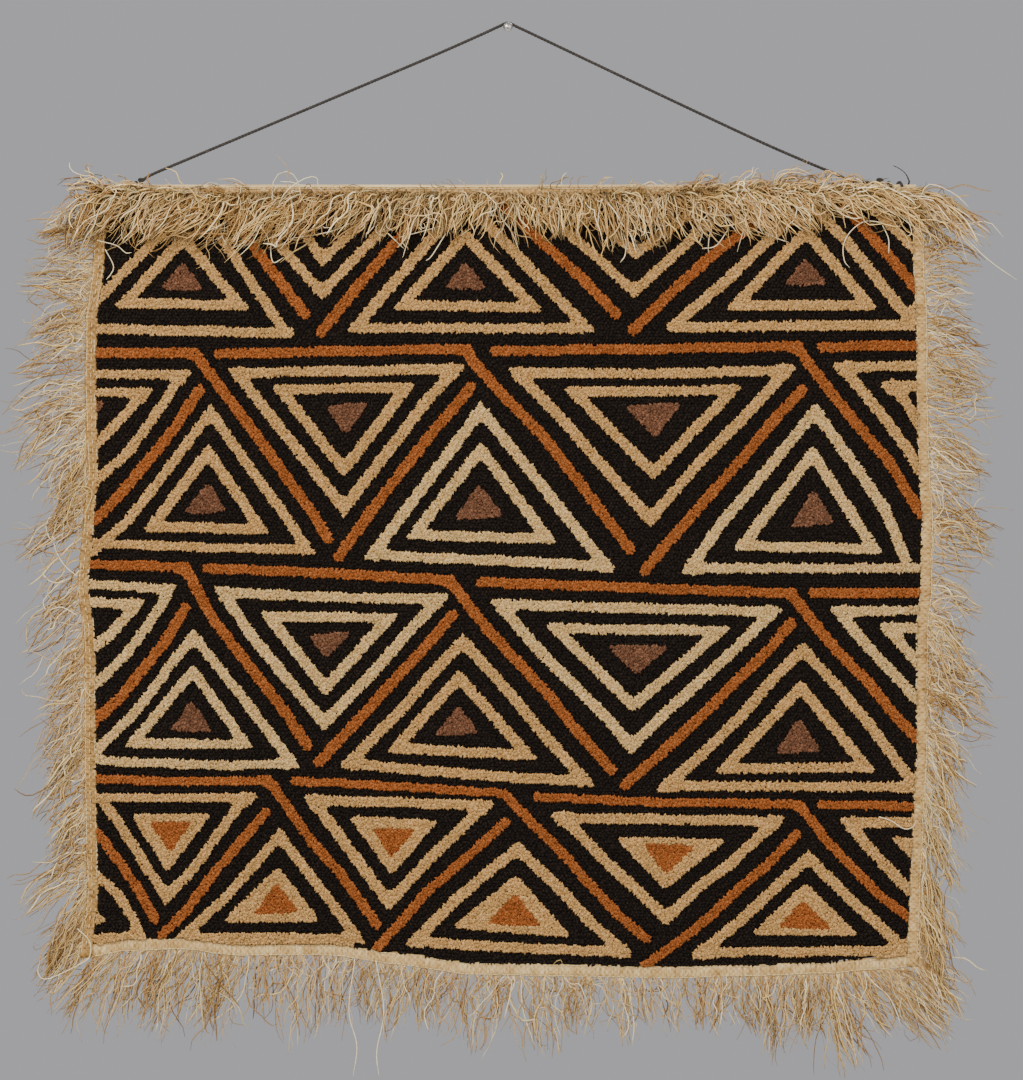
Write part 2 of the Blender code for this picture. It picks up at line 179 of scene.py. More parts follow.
def start_material(name, rough, specular=0.5, metal=0.0, sheen=0.0):
    """A material with its tree, its shader, and the socket of the places on the object."""
    material = bpy.data.materials.new(name)
    material.use_nodes = True
    tree = material.node_tree
    shader = tree.nodes["Principled BSDF"]
    for socket, value in (("Roughness", rough), ("Specular IOR Level", specular),
                          ("Metallic", metal), ("Sheen Weight", sheen)):
        shader.inputs[socket].default_value = value
    return material, tree, shader, add(tree, "TexCoord").outputs["Object"]


def end_material(tree, shader, color, height=None, strength=0.0, rise=0.0):
    """Gives the shader its colour, and its height where there is one, in millimetres."""
    tree.links.new(color, shader.inputs["Base Color"])
    if height is not None:
        raised = add(tree, "Bump",
                     links={"Strength": strength, "Distance": rise * MM, "Height": height})
        tree.links.new(raised.outputs[0], shader.inputs["Normal"])


def toned_material(name, rough, specular, noise, lightness):
    """Each tuft or strand has its own tone, made lighter and darker along it by a noise."""
    material, tree, shader, where = start_material(name, rough, specular)
    own = add(tree, "Attribute", {"attribute_name": "tone"}).outputs["Color"]
    spread = add(tree, "TexNoise", links={"Vector": where, **noise}).outputs["Fac"]
    value = add(tree, "MapRange", links={"Value": spread, "From Min": 0.3, "From Max": 0.7,
                                         "To Min": lightness[0], "To Max": lightness[1]})
    color = add(tree, "Mix", MULTIPLIED, {0: 1.0, COLOR_A: own, COLOR_B: value.outputs["Result"]})
    end_material(tree, shader, color.outputs[COLOR_OUT])
    return material


def raffia_material():
    """Split raffia leaf, undyed: dry, slightly shiny straps with paler and browner lengths.

    Its fibre shows as 2 mm long flecks of lighter and darker."""
    return toned_material("raw_raffia_strands", 0.5, 0.4, {"Scale": 420.0, "Detail": 2.0},
                          (0.82, 1.12))


def pile_material():
    """Cut raffia plush: matt, soft, each tuft a little lighter or darker than the next.

    Its dye and wear are uneven over 15 mm patches."""
    return toned_material("cut_raffia_plush", 0.95, 0.15, {"Scale": 60.0, "Detail": 4.0},
                          (0.9, 1.1))


def weave(tree, where, pitch):
    """Height of a plain weave at a thread spacing in millimetres, from 0 to 1."""
    parts = add(tree, "SeparateXYZ", links={0: where})
    turns = []
    for axis in ("X", "Z"):
        turn = add(tree, "Math", {"operation": "MULTIPLY"},
                   {0: parts.outputs[axis], 1: math.pi / (pitch * MM)})
        turns.append(add(tree, "Math", {"operation": "SINE"}, {0: turn.outputs[0]}).outputs[0])
    over = add(tree, "Math", {"operation": "MULTIPLY"}, {0: turns[0], 1: turns[1]}).outputs[0]
    return add(tree, "MapRange", links={"Value": over, "From Min": -1.0}).outputs["Result"]


def ground_material():
    """Hand-woven raffia ground: its front is painted near black, partly dyed stitches and partly
    painted shade down between the tufts; bare weave on the back.
    """
    material, tree, shader, where = start_material("woven_raffia_ground", 0.9, 0.2)
    own = add(tree, "Attribute", {"attribute_name": "tone"}).outputs["Color"]
    threads = weave(tree, where, GROUND_PITCH)
    # The bare weave is painted darker where its threads dip: painted shade between the threads
    bare = add(tree, "ValToRGB", links={"Fac": threads},
               stops=((0.15, "#8f7a52"), (0.55, "#c6ad7a"), (0.9, "#dccaa0")))
    # The stitches show through the back as a darker shade of the pattern
    marks = add(tree, "TexNoise", links={"Vector": where, "Scale": 500.0, "Detail": 2.0})
    through = add(tree, "MapRange", links={"Value": marks.outputs["Fac"], "From Min": 0.42,
                                           "From Max": 0.6, "To Min": 0.15, "To Max": 0.55})
    behind = add(tree, "Mix", MIXED, {0: through.outputs["Result"], COLOR_A: bare.outputs[0],
                                      COLOR_B: own})
    facing = add(tree, "SeparateXYZ", links={0: add(tree, "NewGeometry").outputs["Normal"]})
    back = add(tree, "Math", {"operation": "GREATER_THAN"}, {0: facing.outputs["Y"], 1: 0.2})
    # The front is painted near black everywhere: the black stitches, and painted shade between the
    # tufts
    dyed_and_shaded = add(tree, "ValToRGB", links={"Fac": marks.outputs["Fac"]},
               stops=((0.3, "#100c0a"), (0.7, "#1e1713")))
    color = add(tree, "Mix", MIXED, {0: back.outputs[0], COLOR_A: dyed_and_shaded.outputs[0],
                                     COLOR_B: behind.outputs[COLOR_OUT]})
    end_material(tree, shader, color.outputs[COLOR_OUT], threads, 0.6, 0.4)
    return material


def band_material(name, drawn, stops):
    """Bare weave of the edge bands: pale straps, 2.1 mm apart, drawn out across the band."""
    material, tree, shader, where = start_material(name, 0.65, 0.3)
    threads = weave(tree, where, BAND_PITCH)
    stretched = add(tree, "Mapping", links={"Vector": where, "Scale": drawn}).outputs[0]
    straps = add(tree, "TexNoise", links={"Vector": stretched, "Scale": 1.0, "Detail": 3.0})
    # A little painted shade where the weave's threads dip; the stretched straps give the band its
    # own lighter and darker lengths
    both = add(tree, "Mix", {"data_type": "FLOAT"},
               {0: 0.84, 2: threads, 3: straps.outputs["Fac"]}).outputs[0]
    woven = add(tree, "ValToRGB", links={"Fac": both}, stops=stops).outputs[0]
    soil = add(tree, "TexNoise", links={"Vector": where, "Scale": 90.0, "Detail": 5.0})
    shade = add(tree, "ValToRGB", links={"Fac": soil.outputs["Fac"]},
                stops=((0.35, "#cbb588"), (0.6, "#ffffff"))).outputs[0]
    color = add(tree, "Mix", MULTIPLIED, {0: 0.6, COLOR_A: woven, COLOR_B: shade})
    end_material(tree, shader, color.outputs[COLOR_OUT], both, 0.7, 0.5)
    return material


def grained_material(name, rough, noise, stops, stretch=None, bump=0.0, **finish):
    """One fine noise gives the tones of a finish, and raises it where there is a bump."""
    material, tree, shader, where = start_material(name, rough, **finish)
    if stretch:
        where = add(tree, "Mapping", links={"Vector": where, "Scale": stretch}).outputs[0]
    grain = add(tree, "TexNoise", links={"Vector": where, **noise}).outputs["Fac"]
    color = add(tree, "ValToRGB", links={"Fac": grain}, stops=stops).outputs[0]
    end_material(tree, shader, color, grain if bump else None, bump, 0.2)
    return material


def thread_material():
    """Bleached sewing thread: nearly white, matt, slightly uneven."""
    return grained_material("pale_cotton_thread", 0.7, {"Scale": 700.0},
                            ((0.3, "#bd9f68"), (0.6, "#dcc797")))


def wood_material():
    """Planed pale pine lath: straight grain along it, 1.5 mm apart, with a soft sheen."""
    return grained_material("planed_pine_lath", 0.5,
                            {"Scale": 1.0, "Detail": 6.0, "Distortion": 0.4},
                            ((0.3, "#bb9862"), (0.5, "#dec490"), (0.7, "#f1e2ba")),
                            stretch=(18.0, 650.0, 650.0), bump=0.3)


def string_material():
    """Dark hard-laid cotton string: brown-black plies with a few lighter worn fibres."""
    return grained_material("dark_laid_string", 0.7, {"Scale": 900.0, "Detail": 3.0},
                            ((0.35, "#14110f"), (0.6, "#2b2521"), (0.8, "#64584c")),
                            bump=0.5, sheen=0.15)


def steel_material():
    """Nickelled steel pin: bright and hard, with fine rubbed marks."""
    return grained_material("nickelled_steel", 0.22, {"Scale": 1500.0, "Detail": 3.0},
                            ((0.3, "#b9b7b2"), (0.7, "#e6e4df")), metal=1.0)


def floor_material():
    """Plain pale painted floor, with the faint unevenness of a roller."""
    return grained_material("pale_painted_floor", 0.8, {"Scale": 8.0},
                            ((0.3, "#c9c8c6"), (0.7, "#d2d1cf")))


# Meshes
def link_mesh(name, mesh, material, node=None):
    """A piece of the scene, which stands for a node of the CAD where one is named."""
    mesh.materials.append(material)
    piece = bpy.data.objects.new(name, mesh)
    bpy.context.scene.collection.objects.link(piece)
    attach(piece, "root")
    if node:
        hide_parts(node)
    return piece


def front_map(mesh):
    """UV map laid flat from the front, so the small tufts and strands share one even map."""
    spots = np.empty(len(mesh.vertices) * 3, np.float32)
    mesh.vertices.foreach_get("co", spots)
    spots = spots.reshape(-1, 3)[:, (0, 2)]
    low = spots.min(0)
    size = (spots.max(0) - low).max()
    corners = np.empty(len(mesh.loops), np.int32)
    mesh.loops.foreach_get("vertex_index", corners)
    layer = mesh.uv_layers.new(name="OFBake")
    layer.data.foreach_set("uv", ((spots - low) / size * 0.98 + 0.01)[corners].ravel())


def paint(mesh, tones):
    """Keeps a colour for each vertex in the attribute that the materials read."""
    layer = mesh.attributes.new("tone", "FLOAT_COLOR", "POINT")
    full = np.ones((len(tones), 4), np.float32)
    full[:, :3] = tones
    layer.data.foreach_set("color", full.ravel())


def mesh_of(name, points, faces, tones=None):
    """Joined mesh from arrays: points in millimetres and faces of one size."""
    spots = place(points.reshape(-1, 3)).astype(np.float32)
    sides = faces.shape[-1]
    faces = faces.reshape(-1, sides)
    mesh = bpy.data.meshes.new(name)
    mesh.vertices.add(len(spots))
    mesh.vertices.foreach_set("co", spots.ravel())
    mesh.loops.add(faces.size)
    mesh.loops.foreach_set("vertex_index", faces.astype(np.int32).ravel())
    mesh.polygons.add(len(faces))
    mesh.polygons.foreach_set("loop_start", np.arange(0, faces.size, sides, dtype=np.int32))
    mesh.update(calc_edges=True)
    if tones is not None:
        paint(mesh, tones.reshape(-1, 3))
        front_map(mesh)
    return mesh


def swept(paths, half_wide, half_deep, turn, sides):
    """Closed tubes along many paths at once. The section is an oval that turns as it goes."""
    ahead = np.gradient(paths, axis=1)
    ahead /= np.linalg.norm(ahead, axis=-1, keepdims=True) + 1e-9
    across = np.cross(ahead, np.array((0.0, 1.0, 0.03)))
    across /= np.linalg.norm(across, axis=-1, keepdims=True) + 1e-9
    over = np.cross(across, ahead)
    count, steps = paths.shape[:2]
    corner = np.arange(sides) / sides * 2 * math.pi
    flat = np.cos(corner) * half_wide[..., None]
    high = np.sin(corner) * half_deep[..., None]
    cos_turn = np.cos(turn)[..., None]
    sin_turn = np.sin(turn)[..., None]
    a = flat * cos_turn - high * sin_turn
    b = flat * sin_turn + high * cos_turn
    middle = paths[:, :, None]
    points = middle + across[:, :, None] * a[..., None] + over[:, :, None] * b[..., None]
    first = np.arange(count)[:, None, None] * steps * sides
    ring = first + np.arange(steps - 1)[None, :, None] * sides
    side = np.arange(sides)[None, None, :]
    after = (side + 1) % sides
    faces = np.stack((ring + side, ring + sides + side, ring + sides + after, ring + after), -1)
    return points, faces


def close_ends(mesh):
    """Caps the open ends of swept tubes and turns all faces outward."""
    bm = bmesh.new()
    bm.from_mesh(mesh)
    bmesh.ops.holes_fill(bm, edges=[edge for edge in bm.edges if edge.is_boundary], sides=0)
    bmesh.ops.recalc_face_normals(bm, faces=bm.faces)
    bm.to_mesh(mesh)
    bm.free()
    mesh.shade_smooth()


def tube_piece(name, tubes, material, node=None, tones=None):
    mesh = mesh_of(name, *tubes, tones)
    close_ends(mesh)
    return link_mesh(name, mesh, material, node)


def new_grid(across, up):
    """A flat grid, and the shares of its points across and up, from 0 to 1."""
    bm = bmesh.new()
    bmesh.ops.create_grid(bm, x_segments=across, y_segments=up, size=0.5)
    bm.verts.ensure_lookup_table()
    return bm, np.array([vert.co[:2] for vert in bm.verts]) + 0.5


def grid_piece(name, bm, points, thick, material, node, tones=None):
    """Moves a grid to its points, and gives it its thickness behind its face."""
    for vert, spot in zip(bm.verts, place(points)):
        vert.co = spot
    mesh = bpy.data.meshes.new(name)
    bm.to_mesh(mesh)
    bm.free()
    if mesh.polygons[0].normal.y > 0:
        mesh.flip_normals()
    if tones is not None:
        paint(mesh, tones)
    front_map(mesh)
    mesh.shade_smooth()
    piece = link_mesh(name, mesh, material, node)
    wall = piece.modifiers.new("Thickness", "SOLIDIFY")
    wall.thickness = thick * MM
    wall.offset = -1
    return piece


# The string, first of the pieces
STRING_ROUTE = (
    (-260.5, 5.7, -108.4), (-258.6, 5.7, -107.4), (-252.0, 5.8, -103.8), (-225.0, 6.0, -92.4),
    (-170.0, 6.6, -69.4), (-110.0, 7.2, -44.2), (-55.0, 7.8, -21.0), (-20.0, 8.0, -5.6),
    (-7.0, 8.0, 0.4), (0.0, 8.0, 3.1), (7.0, 8.0, 0.1), (20.0, 8.0, -6.0), (60.0, 7.7, -25.0),
    (120.0, 7.0, -53.4), (180.0, 6.4, -81.4), (215.0, 6.0, -96.6), (232.0, 5.8, -103.6),
    (244.0, 5.7, -109.0), (254.0, 5.7, -110.3), (262.0, 5.7, -110.4), (264.2, 5.7, -109.8),
)
STRING_THICK = 2.4
KNOT_THICK = 2.2
FRAY = 30.0  # length over which the free tail thins out
FRAY_THIN = 0.3
LAY = 5.0  # millimetres for each turn of the plies
LAY_STEPS = 8
PLY_FLAT = 0.78  # the string's section, thickness over width
ROD_MIDDLE = (5.7, -116.0)  # depth and level
ROD_SIZE = (5.0, 8.0)  # depth and height
LASHINGS = {"left": (-265.2, -272.6, 2), "right": (271.2, 286.2, 1.9)}
LASH_POINTS = 40  # for each turn
LASH_SQUARE = 0.5  # power that squares the turn to the rod
KNOTS = {"left": (-261.6, 5.7, -109.2), "right": (265.4, 5.7, -109.2)}
KNOT_REACH = 0.72
TAIL_ROUTE = (
    (286.4, 5.4, -109.6), (284.0, 5.2, -104.5), (279.5, 5.0, -100.5), (275.0, 4.8, -98.3),
)


def spline_through(route, count):
    """Smooth line through the points of a route."""
    knots = np.asarray(route, float)
    knots = np.vstack((knots[0] * 2 - knots[1], knots, knots[-1] * 2 - knots[-2]))
    where = np.linspace(0, len(knots) - 3, count)
    first = np.minimum(where.astype(int), len(knots) - 4)
    t = (where - first)[:, None]
    a, b, c, d = (knots[first + step] for step in range(4))
    square, cube = a * 2 - b * 5 + c * 4 - d, b * 3 - a - c * 3 + d
    return (b * 2 + (c - a) * t + square * t ** 2 + cube * t ** 3) / 2


def length_of(path):
    return float(np.linalg.norm(np.diff(path, axis=0), axis=1).sum())


def even_steps(path, gap):
    """The same line with its points a set distance apart."""
    run = np.concatenate(([0], np.cumsum(np.linalg.norm(np.diff(path, axis=0), axis=1))))
    marks = np.linspace(0, run[-1], max(int(run[-1] / gap), 3) + 1)
    return np.stack([np.interp(marks, run, path[:, axis]) for axis in range(3)], -1)


def laid_string(name, node, path, material, thick=STRING_THICK, frayed=0.0):
    """Two plies twisted together: an oval section that makes one turn every lay."""
    path = even_steps(path, LAY / LAY_STEPS)
    run = np.arange(len(path)) * (length_of(path) / (len(path) - 1))
    wide = np.full((1, len(path)), thick / 2)
    if frayed:
        wide = wide * np.clip((run[-1] - run) / frayed, FRAY_THIN, 1)
    tubes = swept(path[None], wide, wide * PLY_FLAT, (run / LAY * 2 * math.pi)[None], 8)
    return tube_piece(name, tubes, material, node)


def lashing_path(side):
    """Turns of string round the rod, the right ones with the free tail."""
    first, last, turns = LASHINGS[side]
    angle = np.linspace(0, 2 * math.pi * turns, int(turns * LASH_POINTS))
    around = [np.linspace(first, last, len(angle))]
    for middle, size, wave in zip(ROD_MIDDLE, ROD_SIZE, (np.sin(angle), np.cos(angle))):
        reach = size / 2 + (SEAT + STRING_THICK / 2)
        around.append(middle + reach * np.sign(wave) * np.abs(wave) ** LASH_SQUARE)
    path = np.stack(around, -1)
    return np.vstack((path, spline_through(TAIL_ROUTE, 24))) if side == "right" else path


def knot_path(side):
    """A trefoil round the knot's middle."""
    turn = np.linspace(0, 2 * math.pi, 90)
    loops = np.stack((np.sin(turn) + 1.6 * np.sin(2 * turn), 1.5 * np.sin(3 * turn + 0.4),
                      np.cos(turn) - 1.6 * np.cos(2 * turn)), -1)
    return np.array(KNOTS[side]) + loops * KNOT_REACH


def make_string():
    material = string_material()
    path = spline_through(STRING_ROUTE, 220)
    string = laid_string("twisted_string", "hanging_string", path, material)
    for side, frayed in (("left", 0.0), ("right", FRAY)):
        laid_string(side + "_string_lashing", side + "_lashing", lashing_path(side),
                                  material, frayed=frayed)
        laid_string(side + "_string_knot", side + "_knot", knot_path(side),
                                  material, KNOT_THICK)


make_string()

# Pattern, as charted. Each line has a colour, a width and its points in photograph pixels.
# A line of three corners and the first again is a triangle's frame, given by its outer corners.
BLACK, GOLD, ORANGE, BROWN, PALE = range(5)
BROAD, FULL, WIDE, THIN = 13.1, 13.2, 12.1, 12.0
EDGE = 1.6  # tufts root this far inside an outline, because they spread
SWELL = 1.1  # filled shapes reach this far past the corners that were charted
LEVEL_SLIM = 0.13  # level stretches are narrower than slanting ones by this share
BLUNT = 2.0  # how far hand-cut corners are rounded
CORNER_TURN = 50  # degrees of bend past which a line keeps a sharp corner
CORNER_REACH = 8.0
CORNER_FILL = 9.0  # pile fills the inside of such a corner over about this width
LINES = (
    # Row A
    (GOLD, WIDE, (91, 306), (104, 294), (158, 237), (192, 199), (221, 237), (285, 332)),
    (GOLD, FULL, (91, 329), (200, 331), (290, 333)),
    (GOLD, FULL, (184, 229), (254, 311), (111, 309), (184, 229)),
    (GOLD, FULL, (464, 190), (601, 334), (342, 334), (464, 190)),
    (GOLD, FULL, (465, 226), (548, 313), (389, 311), (465, 226)),
    (GOLD, FULL, (672, 327), (728, 279), (761, 247), (793, 216), (815, 204), (823, 217),
     (852, 248), (884, 288), (905, 314), (916, 324)),
    (GOLD, FULL, (672, 327), (918, 325)),
    (GOLD, FULL, (806, 222), (882, 311), (721, 311), (806, 222)),
    (GOLD, WIDE, (276, 198), (303, 232), (323, 259), (348, 236), (385, 198)),
    (GOLD, WIDE, (240, 198), (275, 240), (322, 293), (360, 253), (412, 198)),
    (GOLD, WIDE, (568, 195), (600, 224), (636, 253), (680, 221), (712, 196)),
    (GOLD, WIDE, (527, 198), (551, 218), (600, 260), (634, 292), (702, 229), (734, 199)),
    (GOLD, WIDE, (866, 200), (882, 217), (911, 246), (922, 257)),
    (ORANGE, BROAD, (220, 200), (249, 240), (305, 314)),
    (ORANGE, BROAD, (321, 332), (360, 284), (397, 241), (434, 198)),
    (ORANGE, BROAD, (500, 200), (536, 237), (581, 277), (616, 314)),
    (ORANGE, BROAD, (633, 330), (674, 290), (718, 250), (747, 229), (785, 198)),
    (ORANGE, BROAD, (838, 198), (850, 213), (874, 240), (895, 263), (913, 285), (920, 292)),
    # Between rows A and B
    (ORANGE, BROAD, (91, 353), (195, 353), (206, 367), (220, 387), (252, 429), (283, 472),
     (313, 513), (328, 538)),
    (ORANGE, BROAD, (219, 354), (340, 351), (466, 349), (472, 360), (503, 395), (543, 436),
     (586, 491), (630, 549)),
    (ORANGE, BROAD, (494, 351), (640, 349), (797, 346), (804, 358), (829, 390), (858, 426),
     (888, 461), (921, 514)),
    (ORANGE, BROAD, (822, 347), (922, 345)),
    (ORANGE, BROAD, (200, 390), (172, 432), (145, 465), (119, 496), (94, 522)),
    (ORANGE, BROAD, (471, 387), (424, 443), (378, 502), (339, 556)),
    (ORANGE, BROAD, (802, 390), (774, 420), (739, 462), (700, 506), (660, 552), (644, 571)),
    # Row B
    (GOLD, WIDE, (91, 374), (184, 375), (176, 385), (152, 420), (129, 452), (99, 478), (91, 486)),
    (GOLD, WIDE, (91, 392), (145, 393), (100, 442), (91, 450)),
    (GOLD, WIDE, (93, 552), (128, 521), (167, 471), (211, 412), (251, 469), (283, 512), (307, 549),
     (223, 548), (151, 545), (93, 543)),
    (GOLD, FULL, (209, 441), (273, 535), (140, 532), (209, 441)),
    (GOLD, FULL, (237, 373), (456, 369), (424, 404), (400, 436), (344, 508), (291, 441),
     (237, 373)),
    (GOLD, FULL, (268, 384), (420, 381), (344, 480), (268, 384)),
    (PALE, FULL, (481, 410), (531, 472), (577, 530), (606, 566), (570, 564), (493, 560),
     (416, 557), (373, 554), (427, 482), (481, 410)),
    (PALE, FULL, (481, 439), (561, 545), (402, 540), (481, 439)),
    (GOLD, FULL, (517, 373), (650, 374), (787, 370), (745, 416), (703, 458), (650, 519),
     (600, 463), (562, 419), (517, 373)),
    (GOLD, FULL, (559, 386), (747, 384), (653, 482), (559, 386)),
    (PALE, FULL, (922, 568), (690, 568), (723, 521), (766, 471), (815, 411), (856, 468),
     (885, 510), (906, 562)),
    (PALE, FULL, (813, 442), (885, 555), (730, 551), (813, 442)),
    (GOLD, FULL, (922, 366), (841, 367), (850, 377), (882, 415), (907, 449), (922, 475)),
    (GOLD, FULL, (922, 386), (889, 386), (904, 399), (918, 423), (922, 431)),
    # Between rows B and C
    (ORANGE, BROAD, (91, 564), (185, 567), (200, 594), (214, 620), (239, 652), (262, 682),
     (287, 714), (307, 745)),
    (ORANGE, BROAD, (208, 568), (330, 573), (450, 580), (473, 611), (496, 638), (521, 665),
     (549, 695), (574, 727), (611, 769)),
    (ORANGE, BROAD, (481, 582), (600, 586), (700, 590), (791, 593), (817, 627), (836, 650),
     (866, 680), (896, 717), (920, 742)),
    (ORANGE, BROAD, (813, 593), (922, 592)),
    (ORANGE, BROAD, (186, 607), (165, 642), (142, 671), (121, 697), (93, 723)),
    (ORANGE, BROAD, (453, 614), (426, 646), (388, 687), (360, 718), (319, 762)),
    (ORANGE, BROAD, (791, 623), (767, 651), (738, 679), (699, 718), (659, 755), (625, 784)),
    # Row C
    (PALE, WIDE, (91, 584), (170, 589), (164, 602), (146, 628), (126, 655), (99, 682), (91, 689)),
    (PALE, FULL, (91, 602), (137, 604), (128, 615), (111, 634), (91, 649)),
    (PALE, WIDE, (94, 753), (132, 716), (153, 690), (175, 659), (194, 636), (235, 687), (264, 725),
     (292, 763), (233, 765), (118, 761), (94, 758)),
    (PALE, WIDE, (194, 661), (257, 749), (121, 748), (194, 661)),
    (PALE, FULL, (223, 592), (330, 597), (440, 599), (407, 633), (379, 666), (324, 723),
     (280, 670), (250, 633), (223, 592)),
    (PALE, FULL, (256, 610), (403, 612), (325, 698), (256, 610)),
    (GOLD, FULL, (463, 641), (510, 693), (547, 738), (585, 780), (512, 777), (436, 771),
     (378, 766), (349, 763), (398, 713), (436, 669), (463, 641)),
    (GOLD, FULL, (459, 667), (542, 761), (383, 753), (459, 667)),
    (PALE, FULL, (500, 604), (640, 608), (773, 611), (740, 644), (710, 672), (671, 707),
     (631, 746), (609, 720), (572, 683), (535, 646), (500, 604)),
    (PALE, FULL, (540, 622), (736, 625), (633, 714), (540, 622)),
    (GOLD, FULL, (922, 786), (666, 786), (703, 753), (741, 716), (778, 673), (803, 649),
     (838, 687), (868, 723), (903, 770), (916, 784)),
    (GOLD, FULL, (801, 677), (879, 773), (711, 774), (801, 677)),
    (PALE, FULL, (922, 610), (838, 611), (846, 621), (869, 648), (898, 679), (922, 705)),
    (PALE, FULL, (922, 627), (887, 628), (898, 640), (922, 668)),
    # Between rows C and D
    (ORANGE, THIN, (91, 778), (180, 781), (269, 780), (289, 809), (313, 843), (340, 873),
     (359, 899), (377, 924)),
    (ORANGE, THIN, (296, 781), (400, 786), (504, 793), (531, 821), (561, 851), (590, 884),
     (618, 914), (646, 938)),
    (ORANGE, THIN, (537, 796), (660, 802), (799, 804), (826, 840), (856, 871), (882, 897),
     (914, 920)),
    (ORANGE, THIN, (821, 804), (922, 806)),
    (ORANGE, THIN, (93, 826), (120, 861), (139, 888), (156, 918)),
    (ORANGE, THIN, (266, 812), (243, 839), (214, 873), (186, 911), (163, 934)),
    (ORANGE, THIN, (505, 822), (482, 843), (454, 868), (425, 893), (406, 916), (377, 948)),
    (ORANGE, THIN, (796, 834), (768, 864), (739, 888), (709, 917), (679, 941), (644, 965)),
    # Row D
    (GOLD, WIDE, (91, 797), (249, 797), (238, 807), (214, 840), (195, 867), (167, 896), (149, 868),
     (131, 840), (113, 813), (99, 797)),
    (GOLD, WIDE, (91, 869), (99, 876), (120, 895), (134, 918), (141, 934), (91, 938)),
    (GOLD, WIDE, (91, 948), (112, 942), (142, 938)),
    (GOLD, WIDE, (186, 940), (250, 943), (350, 944)),
    (GOLD, WIDE, (280, 835), (317, 884), (346, 922), (357, 938), (183, 936), (224, 899),
     (252, 867), (280, 835)),
    (GOLD, FULL, (312, 800), (400, 802), (485, 805), (433, 855), (389, 902), (362, 866),
     (323, 813), (312, 800)),
    (GOLD, FULL, (518, 848), (561, 889), (590, 921), (624, 951), (520, 947), (415, 941),
     (455, 900), (492, 868), (518, 848)),
    (GOLD, FULL, (560, 817), (670, 819), (776, 821), (733, 861), (701, 885), (666, 918),
     (645, 897), (609, 864), (574, 828), (560, 817)),
    (GOLD, FULL, (808, 857), (848, 897), (878, 924), (905, 949), (700, 953), (742, 919),
     (779, 884), (808, 857)),
    (BLACK, 9.0, (700, 963), (752, 957), (800, 959), (862, 963)),
    (GOLD, FULL, (922, 822), (848, 822), (859, 836), (884, 864), (907, 888), (922, 903)),
)
# Filled shapes: a colour and three corners
FILLS = (
    (GOLD, (893, 329), (918, 299), (922, 329)), (GOLD, (892, 790), (918, 770), (922, 790)),
    (GOLD, (872, 958), (896, 936), (922, 962)), (GOLD, (896, 938), (922, 942), (922, 962)),
    (BROWN, (184, 263), (163, 288), (201, 289)), (BROWN, (465, 263), (447, 288), (485, 288)),
    (BROWN, (805, 260), (786, 284), (827, 284)),
    (BROWN, (91, 401), (104, 402), (91, 420)), (BROWN, (209, 484), (186, 512), (225, 511)),
    (BROWN, (328, 407), (367, 403), (346, 433)), (BROWN, (479, 486), (456, 518), (502, 516)),
    (BROWN, (627, 407), (680, 403), (655, 436)), (BROWN, (813, 491), (792, 526), (833, 522)),
    (BROWN, (192, 702), (173, 729), (211, 730)), (BROWN, (310, 636), (350, 632), (327, 656)),
    (BROWN, (459, 706), (437, 734), (477, 732)), (BROWN, (610, 646), (667, 647), (636, 673)),
    (BROWN, (799, 719), (777, 752), (819, 750)),
    (GOLD, (134, 814), (210, 814), (168, 869)), (GOLD, (278, 868), (226, 920), (318, 920)),
    (GOLD, (351, 817), (436, 821), (392, 873)), (GOLD, (516, 876), (454, 926), (569, 935)),
    (GOLD, (618, 838), (724, 840), (665, 887)), (GOLD, (805, 884), (754, 933), (855, 933)),
    (GOLD, (892, 837), (922, 839), (916, 862)), (GOLD, (91, 908), (107, 921), (91, 922)),
    (ORANGE, (151, 821), (192, 821), (171, 851)), (ORANGE, (277, 883), (255, 913), (298, 912)),
    (ORANGE, (373, 828), (415, 829), (391, 857)), (ORANGE, (515, 893), (487, 923), (541, 925)),
    (ORANGE, (643, 844), (695, 845), (666, 873)), (ORANGE, (803, 900), (779, 927), (830, 928)),
)
PILE_TONES = {
    BLACK: ("#181310", "#1f1915", "#28201b"),
    GOLD: ("#ab844e", "#bf9760", "#d5ae76"),
    PALE: ("#ba9862", "#cdac74", "#dfc38f"),
    ORANGE: ("#854820", "#9a582a", "#ad6a38"),
    BROWN: ("#593b2a", "#6e4b37", "#896149"),
}


def slimmed(across, long):
    """Over one where a stretch is level, so that its row of pile is narrower."""
    return 1 + LEVEL_SLIM * (across / long) ** 4


def edge_reach(px, py, corners):
    """How far inside a triangle the points lie, in pixels, with its corners a little blunt."""
    middle = np.mean(corners, 0)
    left = 0
    for (x0, y0), (x1, y1) in zip(corners, [*corners[1:], corners[0]]):
        long = math.hypot(x1 - x0, y1 - y0)
        side = np.sign((x1 - x0) * (middle[1] - y0) - (y1 - y0) * (middle[0] - x0))
        reach = ((x1 - x0) * (py - y0) - (y1 - y0) * (px - x0)) * side / long
        reach = reach * slimmed(x1 - x0, long)
        left = left + np.exp(-np.clip(reach, -60, 60) / BLUNT)
    return -BLUNT * np.log(left)


